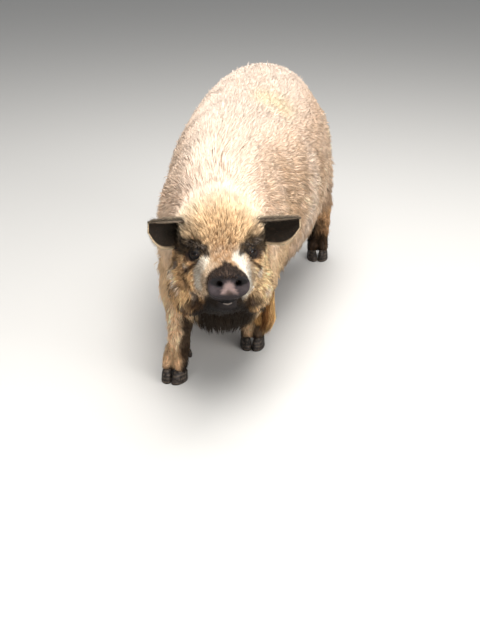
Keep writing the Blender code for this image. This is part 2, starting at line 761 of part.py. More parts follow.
def leg_roots(tree, rng):
    """Roots of the locks round the forearms and thighs."""
    found = []
    for foot in FEET:
        x, y, z = LEG_JOINTS[foot][2][:3]
        for k in range(LEG_COUNT):
            angle = 2 * math.pi * (k + 0.5 + rng.uniform(-0.1, 0.1)) / LEG_COUNT
            hit = tree.ray_cast(Vector((x, y, z)), Vector((math.cos(angle), math.sin(angle), 0.0)))[0]
            if hit is not None and (hit - Vector((x, y, z))).length < 0.110:
                found.append(("leg", hit))
    found.append(("elbow", tree.find_nearest(ELBOW_CLUMP)[0]))
    return found


def lock(tree, root, sizes, rng, collection):
    """One flat lock: a tapered strip that is rooted in the flesh, follows it, and stands a little off it."""
    length, half, thick, lift = (value * rng.uniform(0.88, 1.12) for value in sizes)
    swing = rng.uniform(-LOCK_SWING, LOCK_SWING)
    point, normal = tree.find_nearest(root)[:2]
    rings = []
    along = 0.0
    for share, width, rise in [*LOCK_SECTIONS, (1.0, 0.0, 1.0)]:
        while along < share * length - 1e-6:
            flow = lie(point, normal)
            flow = (flow + normal.cross(flow) * swing).normalized()
            stride = min(LOCK_STRIDE, share * length - along)
            point, normal = tree.find_nearest(point + flow * stride)[:2]
            along += stride
        across = normal.cross(lie(point, normal))
        left, right = (tree.find_nearest(point + across * (sign * half * width))[:2] for sign in (-1, 1))
        under = rise * lift
        rings.append([
            left[0] + left[1] * (under + thick * 0.30), point + normal * (under + thick),
            right[0] + right[1] * (under + thick * 0.30), point + normal * under,
        ])
    bm = bmesh.new()
    made = [[bm.verts.new(p) for p in ring] for ring in rings[:-1]]
    tip = bm.verts.new(rings[-1][1])
    bm.faces.new(made[0])
    for low, high in zip(made, made[1:]):
        for k in range(4):
            after = (k + 1) % 4
            bm.faces.new((low[k], low[after], high[after], high[k]))
    for k in range(4):
        bm.faces.new((made[-1][k], made[-1][(k + 1) % 4], tip))
    return new_object("lock", bm, collection)


def coat(body, collection):
    """Sets the locks over the flesh and joins them to it."""
    rng = random.Random(LOCK_SEED)
    tree = BVHTree.FromObject(body, bpy.context.evaluated_depsgraph_get())
    roots = trunk_roots(tree, rng) + face_roots(tree, rng) + leg_roots(tree, rng)
    locks = [lock(tree, hit, LOCKS[name], rng, collection) for name, hit in roots]
    return boolean(body, locks, "UNION", "MANIFOLD")


def face_details(head, collection):
    """Puts the snout disc, nostrils, mouth, lids and eyes on the head, and returns the two ears, not yet let in."""
    boolean(head, [snout_disc(collection)], "UNION")
    boolean(head, [mouth_cut(head, collection)], "DIFFERENCE")
    boolean(head, [nostril(side, collection) for side in (-1, 1)], "DIFFERENCE")
    places = {side: eye_place(head, side) for side in (-1, 1)}
    lids = [ball("lid", place, (EYE_RADIUS + LID_THICKNESS,) * 3, collection, 0.0, 14, 9) for place in places.values()]
    boolean(head, lids, "UNION")
    sockets, openings = [], []
    for side, place in places.items():
        eye = ball("eye_left" if side > 0 else "eye_right", place, (EYE_RADIUS,) * 3, collection, 0.0, 12, 8)
        sockets.append(swollen(eye, GAP, collection))
        openings.append(lid_opening(place, side, collection))
    boolean(head, openings, "DIFFERENCE")
    boolean(head, sockets, "DIFFERENCE")
    return [sheet("ear_left" if side > 0 else "ear_right", ear_grid(side), EAR_THICKNESS, collection) for side in (-1, 1)]


def centred(collection):
    """Moves everything so that the origin lies on the floor under the middle of the bounding box."""
    corners = [v.co for thing in collection.objects for v in thing.data.vertices]
    low = [min(c[axis] for c in corners) for axis in range(3)]
    high = [max(c[axis] for c in corners) for axis in range(3)]
    move = Matrix.Translation((-(low[0] + high[0]) / 2, -(low[1] + high[1]) / 2, -low[2]))
    for thing in collection.objects:
        thing.data.transform(move)


def main():
    clear_scene()
    pig = bpy.data.collections.new("kunekune_pig")
    bpy.context.scene.collection.children.link(pig)
    torso = thinned(flesh(pig), BODY_TRIANGLES)
    torso.name = "torso"
    ears = face_details(torso, pig)
    coat(torso, pig)
    boolean(torso, [swollen(ear, GAP, pig) for ear in ears], "DIFFERENCE", "MANIFOLD")
    for foot in FEET:
        leg = copy_of(torso, "leg_" + foot, pig)
        boolean(leg, [leg_region(foot, pig)], "INTERSECT", "MANIFOLD")
        boolean(torso, [leg_region(foot, pig, GAP)], "DIFFERENCE", "MANIFOLD")
        horn = [claw(foot, side, pig) for side in (-1, 1)] + [dewclaw(foot, side, pig) for side in (-1, 1)]
        boolean(leg, [swollen(piece, GAP, pig) for piece in horn], "DIFFERENCE", "MANIFOLD")
    hanging = tail(pig)
    boolean(torso, [swollen(hanging, GAP, pig)], "DIFFERENCE", "MANIFOLD")
    neck = parted(torso, "neck", Vector((0.0, -0.350, 0.450)), Vector((0, -1, 0)), pig)
    forward = face_turn() @ Vector((0, -1, 0))
    parted(neck, "head", face_point(0.0, FACE_EDGE, 0.430), forward, pig)
    centred(pig)
    for thing in pig.objects:
        if thing.name.startswith("eye"):
            painted(thing, "eye_wet", EYE_WET)
        elif thing.name.startswith(("hoof", "dewclaw")):
            painted(thing, "horn", HORN)
        elif thing.name.startswith("ear"):
            painted(thing, "ear_skin", EAR_SKIN)
        else:
            painted(thing, "cream_hair", HAIR)


main()
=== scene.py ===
"""A walking kunekune pig, dressed in skin, coat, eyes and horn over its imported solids.

Metres, +Z up. Places on the animal are worked out in the frame that its flesh was drawn in, where the pig
faces -Y and its left side is +X. Each finished mesh is then moved by FRAME_MOVE into the solids' frame.
"""

from __future__ import annotations

import logging
import math
from dataclasses import dataclass, field
from enum import Enum

import bmesh
import bpy
import numpy as np
from mathutils import Matrix, Vector
from mathutils.bvhtree import BVHTree
from mathutils.kdtree import KDTree

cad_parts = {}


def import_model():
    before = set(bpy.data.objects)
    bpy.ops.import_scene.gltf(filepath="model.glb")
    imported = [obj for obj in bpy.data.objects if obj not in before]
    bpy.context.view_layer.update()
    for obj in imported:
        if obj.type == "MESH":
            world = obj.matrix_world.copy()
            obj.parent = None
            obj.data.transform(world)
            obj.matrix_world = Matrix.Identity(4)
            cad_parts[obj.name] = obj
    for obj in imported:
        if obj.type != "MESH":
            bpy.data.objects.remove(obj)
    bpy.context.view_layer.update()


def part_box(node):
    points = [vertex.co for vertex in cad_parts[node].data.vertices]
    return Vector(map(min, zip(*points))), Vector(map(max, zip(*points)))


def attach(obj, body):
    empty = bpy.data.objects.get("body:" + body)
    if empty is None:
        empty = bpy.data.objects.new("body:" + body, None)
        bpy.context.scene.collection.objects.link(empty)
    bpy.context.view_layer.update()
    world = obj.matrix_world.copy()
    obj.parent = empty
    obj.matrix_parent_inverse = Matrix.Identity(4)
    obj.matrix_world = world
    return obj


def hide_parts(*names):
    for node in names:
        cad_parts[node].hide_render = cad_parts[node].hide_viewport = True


LOG = logging.getLogger("pig")

BODY = "root"
# From the frame that the flesh was drawn in to the solids' frame
FRAME_MOVE = Vector((-0.00919, 0.05831, 0.0))
SIDES = {"right": -1, "left": 1}

Array = np.ndarray


def linear(code: str) -> tuple[float, float, float]:
    """Turns an sRGB hex colour into linear red, green and blue.

    Args:
        code: Six hex digits, with or without a leading hash.

    Returns:
        Three numbers from 0 to 1.
    """
    code = code.lstrip("#")
    parts = [int(code[i : i + 2], 16) / 255 for i in (0, 2, 4)]
    return tuple(p / 12.92 if p <= 0.04045 else ((p + 0.055) / 1.055) ** 2.4 for p in parts)


def fill(node: bpy.types.Node, inputs: dict) -> None:
    """Sets a node's inputs by name or number, each to a value or linked to another node's output."""
    for name, value in inputs.items():
        if isinstance(value, bpy.types.NodeSocket):
            node.id_data.links.new(value, node.inputs[name])
        else:
            node.inputs[name].default_value = value


def add_node(
    tree: bpy.types.NodeTree, kind: str, inputs: dict | None = None, **settings: object
) -> bpy.types.Node:
    """Adds a shader node.

    Args:
        tree: The node tree that gets the node.
        kind: The node's type name.
        inputs: A value, or another node's output to link, for each input by name or number.
        settings: Values for the node's own properties.

    Returns:
        The new node.
    """
    node = tree.nodes.new(kind)
    for name, value in settings.items():
        setattr(node, name, value)
    fill(node, inputs or {})
    return node


def smooth(values: Array, low: float, high: float) -> Array:
    """Rises from 0 at low to 1 at high along an S-curve, or falls where low is above high."""
    share = np.clip((values - low) / (high - low), 0.0, 1.0)
    return share * share * (3.0 - 2.0 * share)


def mixed(first: Array, second: Array, share: Array) -> Array:
    """Mixes rows of first towards second by a share for each row."""
    return first + (second - first) * share[:, None]


def unit(rows: Array) -> Array:
    """Scales each row to length 1."""
    return rows / np.maximum(np.linalg.norm(rows, axis=1, keepdims=True), 1e-9)


def waves(points: Array, size: float, seed: int, count: int = 7) -> Array:
    """A smooth, seeded pattern over space.

    Args:
        points: Places in metres, one per row.
        size: Rough size of one patch of the pattern, in metres.
        seed: Picks the pattern.
        count: How many waves are added up.

    Returns:
        A number near -1 to 1 for each place.
    """
    rng = np.random.default_rng(seed)
    directions = unit(rng.normal(size=(count, 3)))
    lengths = size * rng.uniform(1.2, 2.6, count)
    phases = rng.uniform(0, 2 * math.pi, count)
    total = np.sin(points @ (directions * (2 * math.pi / lengths)[:, None]).T + phases)
    return total.sum(axis=1) / math.sqrt(count)


def curved(rows: list, span: int, t: float) -> list[float]:
    """A row of numbers between the given ones, on a Catmull-Rom curve.

    Args:
        rows: Rows of numbers, all of one length.
        span: The number of the row that the span starts at.
        t: How far along the span, from 0 to 1.

    Returns:
        The new row.
    """
    near = (rows[max(0, min(len(rows) - 1, span + k))] for k in (-1, 0, 1, 2))
    return [
        0.5 * (2 * b + (c - a) * t + (2 * a - 5 * b + 4 * c - d) * t**2 + (3 * b - a - 3 * c + d) * t**3)
        for a, b, c, d in zip(*near)
    ]


def between(rows: list, per_span: int) -> list[list[float]]:
    """The rows with more rows between them, so many to each span, along a Catmull-Rom curve."""
    spans = range(len(rows) - 1)
    found = [curved(rows, span, step / per_span) for span in spans for step in range(per_span)]
    return [*found, list(rows[-1])]


def ring(
    centre: Vector, side: Vector, up: Vector, half: float, rise: float, drop: float,
    power: float = 2.0, segments: int = 24,
) -> list[Vector]:
    """Points round a rounded outline.

    Args:
        centre: Middle of the outline's widest level.
        side: Direction of its width.
        up: Direction of its height.
        half: Half its width.
        rise: Its height above the widest level.
        drop: Its depth below the widest level.
        power: 2 for an ellipse, more for a squarer outline.
        segments: Number of points.

    Returns:
        The points in order.
    """
    points = []
    for k in range(segments):
        angle = 2 * math.pi * k / segments
        across = math.copysign(abs(math.cos(angle)) ** (2 / power), math.cos(angle))
        along = math.copysign(abs(math.sin(angle)) ** (2 / power), math.sin(angle))
        points.append(centre + side * (half * across) + up * ((rise if along > 0 else drop) * along))
    return points


def new_piece(name: str, bm: bmesh.types.BMesh) -> bpy.types.Object:
    """Makes a smooth-shaded object from a bmesh, with its faces pointing out, and frees the bmesh."""
    bmesh.ops.recalc_face_normals(bm, faces=bm.faces)
    mesh = bpy.data.meshes.new(name)
    bm.to_mesh(mesh)
    bm.free()
    mesh.shade_smooth()
    made = bpy.data.objects.new(name, mesh)
    bpy.context.scene.collection.objects.link(made)
    return made


def loft(name: str, rings: list[list[Vector]]) -> bpy.types.Object:
    """A closed skin over rings of points, with a flat cap at each end.

    Args:
        name: The object's name.
        rings: Outlines with the same number of points each.

    Returns:
        The new object.
    """
    bm = bmesh.new()
    loops = []
    for i, outline in enumerate(rings):
        capped = i in (0, len(rings) - 1)
        circle = bmesh.ops.create_circle(bm, cap_ends=capped, radius=1.0, segments=len(outline))["verts"]
        for vert, point in zip(circle, outline):
            vert.co = point
        pairs = zip(circle, circle[1:] + circle[:1])
        loops.append([bm.edges.get(pair) for pair in pairs])
    for low, high in zip(loops, loops[1:]):
        bmesh.ops.bridge_loops(bm, edges=low + high)
    return new_piece(name, bm)


def limb(name: str, stations: list, per_span: int = 4, segments: int = 24) -> bpy.types.Object:
    """A tube through stations of x, y, z, half width and half depth, each ring square to its path."""
    rows = between(stations, per_span)
    points = [Vector(row[:3]) for row in rows]
    rings = []
    for i, (point, row) in enumerate(zip(points, rows)):
        ahead = (points[min(i + 1, len(points) - 1)] - points[max(i - 1, 0)]).normalized()
        side = Vector((0, 1, 0)).cross(ahead).normalized()
        rings.append(ring(point, side, ahead.cross(side), row[3], row[4], row[4], segments=segments))
    return loft(name, rings)


def ball(
    name: str, centre: Vector, radii: tuple[float, ...], turn: float = 0.0,
    segments: int = 32, rings: int = 20,
) -> bpy.types.Object:
    """An ellipsoid with these three radii, turned about Z."""
    bm = bmesh.new()
    bmesh.ops.create_uvsphere(bm, u_segments=segments, v_segments=rings, radius=1.0)
    place = Matrix.Translation(centre) @ Matrix.Rotation(turn, 4, "Z") @ Matrix.Diagonal((*radii, 1.0))
    bmesh.ops.transform(bm, matrix=place, verts=bm.verts)
    return new_piece(name, bm)


def baked(thing: bpy.types.Object) -> bpy.types.Object:
    """Puts what the object's modifiers make into its own mesh."""
    bpy.context.view_layer.update()
    graph = bpy.context.evaluated_depsgraph_get()
    mesh = bpy.data.meshes.new_from_object(thing.evaluated_get(graph))
    thing.modifiers.clear()
    thing.data = mesh
    return thing


def joined(name: str, things: list[bpy.types.Object]) -> bpy.types.Object:
    """One object that holds the meshes of several, which are removed."""
    bm = bmesh.new()
    for thing in things:
        bm.from_mesh(thing.data)
        bpy.data.objects.remove(thing, do_unlink=True)
    mesh = bpy.data.meshes.new(name)
    bm.to_mesh(mesh)
    bm.free()
    made = bpy.data.objects.new(name, mesh)
    bpy.context.scene.collection.objects.link(made)
    return made


def fused(thing: bpy.types.Object, voxel: float, smoothing: int) -> bpy.types.Object:
    """One skin round everything in the object, softened where its pieces meet."""
    remesh = thing.modifiers.new("fuse", "REMESH")
    remesh.mode = "VOXEL"
    remesh.voxel_size = voxel
    soften = thing.modifiers.new("soften", "SMOOTH")
    soften.factor = 0.5
    soften.iterations = smoothing
    return baked(thing)


def combined(thing: bpy.types.Object, others: list[bpy.types.Object], operation: str) -> bpy.types.Object:
    """Cuts the object by others or joins them to it, and removes the others."""
    tools = bpy.data.collections.new("tools")
    bpy.context.scene.collection.children.link(tools)
    for other in others:
        bpy.context.scene.collection.objects.unlink(other)
        tools.objects.link(other)
    cut = thing.modifiers.new(operation.lower(), "BOOLEAN")
    cut.operation = operation
    cut.operand_type = "COLLECTION"
    cut.collection = tools
    cut.solver = "MANIFOLD"
    baked(thing)
    for other in others:
        bpy.data.objects.remove(other, do_unlink=True)
    bpy.data.collections.remove(tools)
    return thing


def places_of(mesh: bpy.types.Mesh) -> Array:
    """The mesh's vertices as rows of x, y and z."""
    found = np.empty(len(mesh.vertices) * 3, np.float32)
    mesh.vertices.foreach_get("co", found)
    return found.reshape(-1, 3).astype(float)


def normals_of(mesh: bpy.types.Mesh) -> Array:
    """The mesh's vertex normals as rows of x, y and z."""
    found = np.empty(len(mesh.vertices) * 3, np.float32)
    mesh.vertex_normals.foreach_get("vector", found)
    return found.reshape(-1, 3).astype(float)


def set_places(mesh: bpy.types.Mesh, places: Array) -> None:
    """Moves the mesh's vertices to these rows of x, y and z."""
    mesh.vertices.foreach_set("co", places.astype(np.float32).ravel())
    mesh.update()


def relaxed(mesh: bpy.types.Mesh, weight: Array, rounds: int) -> None:
    """Smooths the mesh where the weight is above 0.

    Args:
        mesh: The mesh to smooth.
        weight: From 0 to 1 for each vertex.
        rounds: How many times each vertex moves towards its neighbours' middle.
    """
    places = places_of(mesh)
    ends = np.empty(len(mesh.edges) * 2, np.int32)
    mesh.edges.foreach_get("vertices", ends)
    ends = ends.reshape(-1, 2)
    count = np.bincount(ends.ravel(), minlength=len(places)).clip(1)[:, None]
    for _ in range(rounds):
        total = np.zeros_like(places)
        for axis in range(3):
            total[:, axis] += np.bincount(ends[:, 0], places[ends[:, 1], axis], len(places))
            total[:, axis] += np.bincount(ends[:, 1], places[ends[:, 0], axis], len(places))
        places = mixed(places, total / count, 0.5 * weight)
    set_places(mesh, places)


def paint(mesh: bpy.types.Mesh, name: str, colours: Array) -> None:
    """Stores a linear colour for each vertex under this attribute name."""
    layer = mesh.color_attributes.new(name=name, type="FLOAT_COLOR", domain="POINT")
    rows = np.concatenate([np.clip(colours, 0.0, 1.0), np.ones((len(colours), 1))], axis=1)
    layer.data.foreach_set("color", rows.astype(np.float32).ravel())


def dress(
    piece: bpy.types.Object, material: bpy.types.Material, replaces: tuple[str, ...] = ()
) -> None:
    """Moves a finished piece into the solids' frame and ties it to the model.

    Args:
        piece: The piece, in the frame that the flesh was drawn in.
        material: Its finish.
        replaces: The solids' nodes that it stands for.
    """
    piece.data.transform(Matrix.Translation(FRAME_MOVE))
    piece.data.materials.clear()
    piece.data.materials.append(material)
    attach(piece, BODY)
    if replaces:
        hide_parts(*replaces)
    LOG.info("%s: %d faces", piece.name, len(piece.data.polygons))


@dataclass(frozen=True)
class Head:
    """Where the head is and its main sizes.

    Directions on the head are metres to its left, metres behind the eyes, and height over the floor.
    """

    between_eyes: Vector = Vector((0.076, -0.612, 0.466))
    turn: float = math.radians(17.0)
    cheek_half: float = 0.114
    poll_z: float = 0.556
    disc_back: float = -0.113
    disc_z: float = 0.412
    disc_half: float = 0.051
    disc_high: float = 0.039
    disc_pitch: float = math.radians(11.0)
    # The disc and mouth stand a little to the left of the head's middle plane
    disc_side: float = 0.004
    nostril_side: float = 0.0235
    nostril_up: float = 0.008
    eye_z: float = 0.459
    eye_radius: float = 0.0125

    def rotation(self) -> Matrix:
        """The turn from the head's own directions to the model's."""
        return Matrix.Rotation(self.turn, 3, "Z")

    def point(self, side: float, back: float, z: float) -> Vector:
        """A place on the head in the model's directions."""
        flat = Vector((self.between_eyes.x, self.between_eyes.y, 0.0))
        return flat + self.rotation() @ Vector((side, back, 0.0)) + Vector((0, 0, z))

    def local(self, points: Array) -> tuple[Array, Array, Array]:
        """The side, depth behind the eyes and height of each place."""
        x, y = points[:, 0] - self.between_eyes.x, points[:, 1] - self.between_eyes.y
        cos, sin = math.cos(self.turn), math.sin(self.turn)
        return x * cos + y * sin, y * cos - x * sin, points[:, 2]

    def disc_frame(self) -> Matrix:
        """The matrix of the snout disc: its face lies in X and Z, and -Y points out of it."""
        place = Matrix.Translation(self.point(self.disc_side, self.disc_back, self.disc_z))
        return place @ Matrix.Rotation(self.turn, 4, "Z") @ Matrix.Rotation(self.disc_pitch, 4, "X")

    def on_disc(self, points: Array) -> Array:
        """Each place in the snout disc's own directions: to its left, into the snout and up its face."""
        turned = np.array(self.disc_frame().inverted())
        return points @ turned[:3, :3].T + turned[:3, 3]

    def look(self, side: int) -> Vector:
        """The way one eye looks."""
        return (self.rotation() @ Vector((side * 0.42, -0.86, 0.30))).normalized()

    def eye_centre(self, side: int) -> Vector:
        """The middle of one eyeball, read from the solid eye."""
        low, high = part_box("eye_left" if side > 0 else "eye_right")
        return (Vector(low) + Vector(high)) / 2 - FRAME_MOVE

    def from_eye(self, points: Array, side: int) -> Array:
        """How far each place is from the middle of one eye."""
        return np.linalg.norm(points - np.array(self.eye_centre(side)), axis=1)


@dataclass(frozen=True)
class Trunk:
    """The main sizes of the neck and trunk."""

    croup_z: float = 0.700
    withers_z: float = 0.664
    brisket_z: float = 0.144
    belly_half: float = 0.240
    chest_y: float = -0.43
    rump_y: float = 0.570
    # How far the skin lies inside the coat's outline at the flanks, along the back and under the belly
    flank_coat: float = 0.016
    back_coat: float = 0.002
    belly_coat: float = 0.004
    squareness: float = 2.1
    segments: int = 40

    def stations(self) -> list[tuple[float, ...]]:
        """Rows of y, sideways shift, half width, top, widest level and bottom, from the head to the rump."""
        chest, rump, croup, withers = self.chest_y, self.rump_y, self.croup_z, self.withers_z
        return [
            (chest - 0.080, 0.046, 0.112, 0.548, 0.415, 0.268),
            (chest - 0.040, 0.036, 0.142, 0.574, 0.395, 0.206),
            (chest + 0.020, 0.022, 0.158, 0.606, 0.385, 0.164),
            (chest + 0.100, 0.008, 0.168, 0.640, 0.385, self.brisket_z),
            (-0.220, 0.000, 0.176, withers, 0.395, self.brisket_z + 0.006),
            (-0.100, 0.000, 0.204, withers + 0.006, 0.395, 0.168),
            (0.030, 0.000, 0.230, withers + 0.012, 0.390, 0.172),
            (0.150, 0.000, self.belly_half, croup - 0.014, 0.390, 0.176),
            (0.260, 0.000, 0.238, croup - 0.003, 0.400, 0.190),
            (0.360, 0.000, 0.223, croup, 0.420, 0.222),
            (0.450, 0.000, 0.197, croup - 0.014, 0.440, 0.266),
            (rump - 0.045, 0.000, 0.156, croup - 0.052, 0.460, 0.322),
            (rump - 0.010, 0.000, 0.104, croup - 0.106, 0.475, 0.372),
            (rump + 0.004, 0.000, 0.042, croup - 0.168, 0.480, 0.430),
        ]

    def rings(self) -> list[list[Vector]]:
        """The trunk's outlines across."""
        side, up = Vector((1, 0, 0)), Vector((0, 0, 1))
        found = []
        for y, shift, half, top, widest, bottom in between(self.stations(), 4):
            sizes = (half - self.flank_coat, top - self.back_coat - widest, widest - bottom - self.belly_coat)
            found.append(ring(Vector((shift, y, widest)), side, up, *sizes, self.squareness, self.segments))
        return found


@dataclass(frozen=True)
class Leg:
    """One leg: its joints from the root to the cannon bone, and its foot on the floor."""

    name: str
    joints: tuple[tuple[float, ...], ...]
    place: Vector
    turn: float
    fetlock_z: float = 0.078
    toe_spacing: float = 0.038
    # How far the skin lies inside the short coat of the leg
    coat: float = 0.003

    def frame(self) -> Matrix:
        """The matrix that puts a foot, modelled at the origin with its toes to -Y, in its place."""
        return Matrix.Translation(self.place) @ Matrix.Rotation(self.turn, 4, "Z")

    def stations(self) -> list[tuple[float, ...]]:
        """Stations of the leg from its root down to the fetlock, which stands over the back of the foot."""
        fetlock = self.frame() @ Vector((0.0, 0.016, self.fetlock_z))
        thinner = [(x, y, z, half - self.coat, depth - self.coat) for x, y, z, half, depth in self.joints]
        return [*thinner, (*fetlock, 0.034 - self.coat, 0.036 - self.coat)]

    def toes(self) -> list[bpy.types.Object]:
        """The flesh of the two toes, from the fetlock down into the hooves."""
        made = []
        for side in SIDES.values():
            across = side * self.toe_spacing / 2
            top = self.fetlock_z
            stations = [
                (across * 0.35, 0.018, top + 0.008, 0.023, 0.029),
                (across * 0.70, 0.004, top - 0.020, 0.020, 0.025),
                (across * 0.95, -0.006, top - 0.038, 0.0170, 0.0210),
                (across, -0.008, 0.024, 0.013, 0.016),
            ]
            toe = limb("toe", stations)
            toe.data.transform(self.frame())
            made.append(toe)
        return made

    def nearness(self, points: Array) -> Array:
        """How far each place is from the leg's middle line, as a share of the leg's half depth there."""
        low = self.frame() @ Vector((0.0, 0.0, 0.0))
        rows = np.array([*self.stations(), (low.x, low.y, low.z, 0.040, 0.045)])
        best = np.full(len(points), np.inf)
        for start, end in zip(rows, rows[1:]):
            span = end[:3] - start[:3]
            share = np.clip((points - start[:3]) @ span / (span @ span), 0.0, 1.0)
            away = np.linalg.norm(points - start[:3] - share[:, None] * span, axis=1)
            best = np.minimum(best, away / (start[4] + (end[4] - start[4]) * share))
        return best


LEGS = {
    "front_right": Leg("front_right", (
        (-0.104, -0.250, 0.400, 0.070, 0.088), (-0.108, -0.292, 0.310, 0.062, 0.076),
        (-0.104, -0.336, 0.235, 0.051, 0.064), (-0.093, -0.386, 0.165, 0.037, 0.048),
        (-0.089, -0.424, 0.115, 0.029, 0.033),
    ), Vector((-0.097, -0.440, 0.0)), math.radians(-8.0)),
    "front_left": Leg("front_left", (
        (0.100, -0.240, 0.400, 0.070, 0.088), (0.102, -0.240, 0.310, 0.060, 0.076),
        (0.098, -0.228, 0.235, 0.050, 0.064), (0.092, -0.212, 0.165, 0.038, 0.049),
        (0.082, -0.194, 0.115, 0.029, 0.033),
    ), Vector((0.076, -0.196, 0.0)), math.radians(4.0)),
    "hind_right": Leg("hind_right", (
        (-0.112, 0.350, 0.450, 0.092, 0.140), (-0.128, 0.315, 0.340, 0.078, 0.112),
        (-0.130, 0.290, 0.255, 0.057, 0.074), (-0.128, 0.305, 0.185, 0.041, 0.049),
        (-0.126, 0.280, 0.125, 0.032, 0.036),
    ), Vector((-0.125, 0.235, 0.0)), math.radians(-8.0)),
    "hind_left": Leg("hind_left", (
        (0.120, 0.370, 0.450, 0.094, 0.140), (0.146, 0.392, 0.345, 0.080, 0.110),
        (0.162, 0.424, 0.265, 0.057, 0.073), (0.174, 0.496, 0.200, 0.041, 0.048),
        (0.178, 0.530, 0.135, 0.032, 0.036),
    ), Vector((0.172, 0.528, 0.0)), math.radians(8.0)),
}
HEAD = Head()
TRUNK = Trunk()


def leg_share(points: Array) -> Array:
    """How much each place belongs to a leg, from 0 on the trunk to 1 on the leg."""
    near = np.min([leg.nearness(points) for leg in LEGS.values()], axis=0)
    return smooth(near, 1.60, 1.25) * smooth(points[:, 2], 0.300, 0.200)


def face_share(points: Array) -> Array:
    """How much each place belongs to the face, from 0 on the neck to 1 in front of the ears."""
    _, back, z = HEAD.local(points)
    return smooth(back, 0.150, 0.060) * smooth(z, 0.170, 0.260)


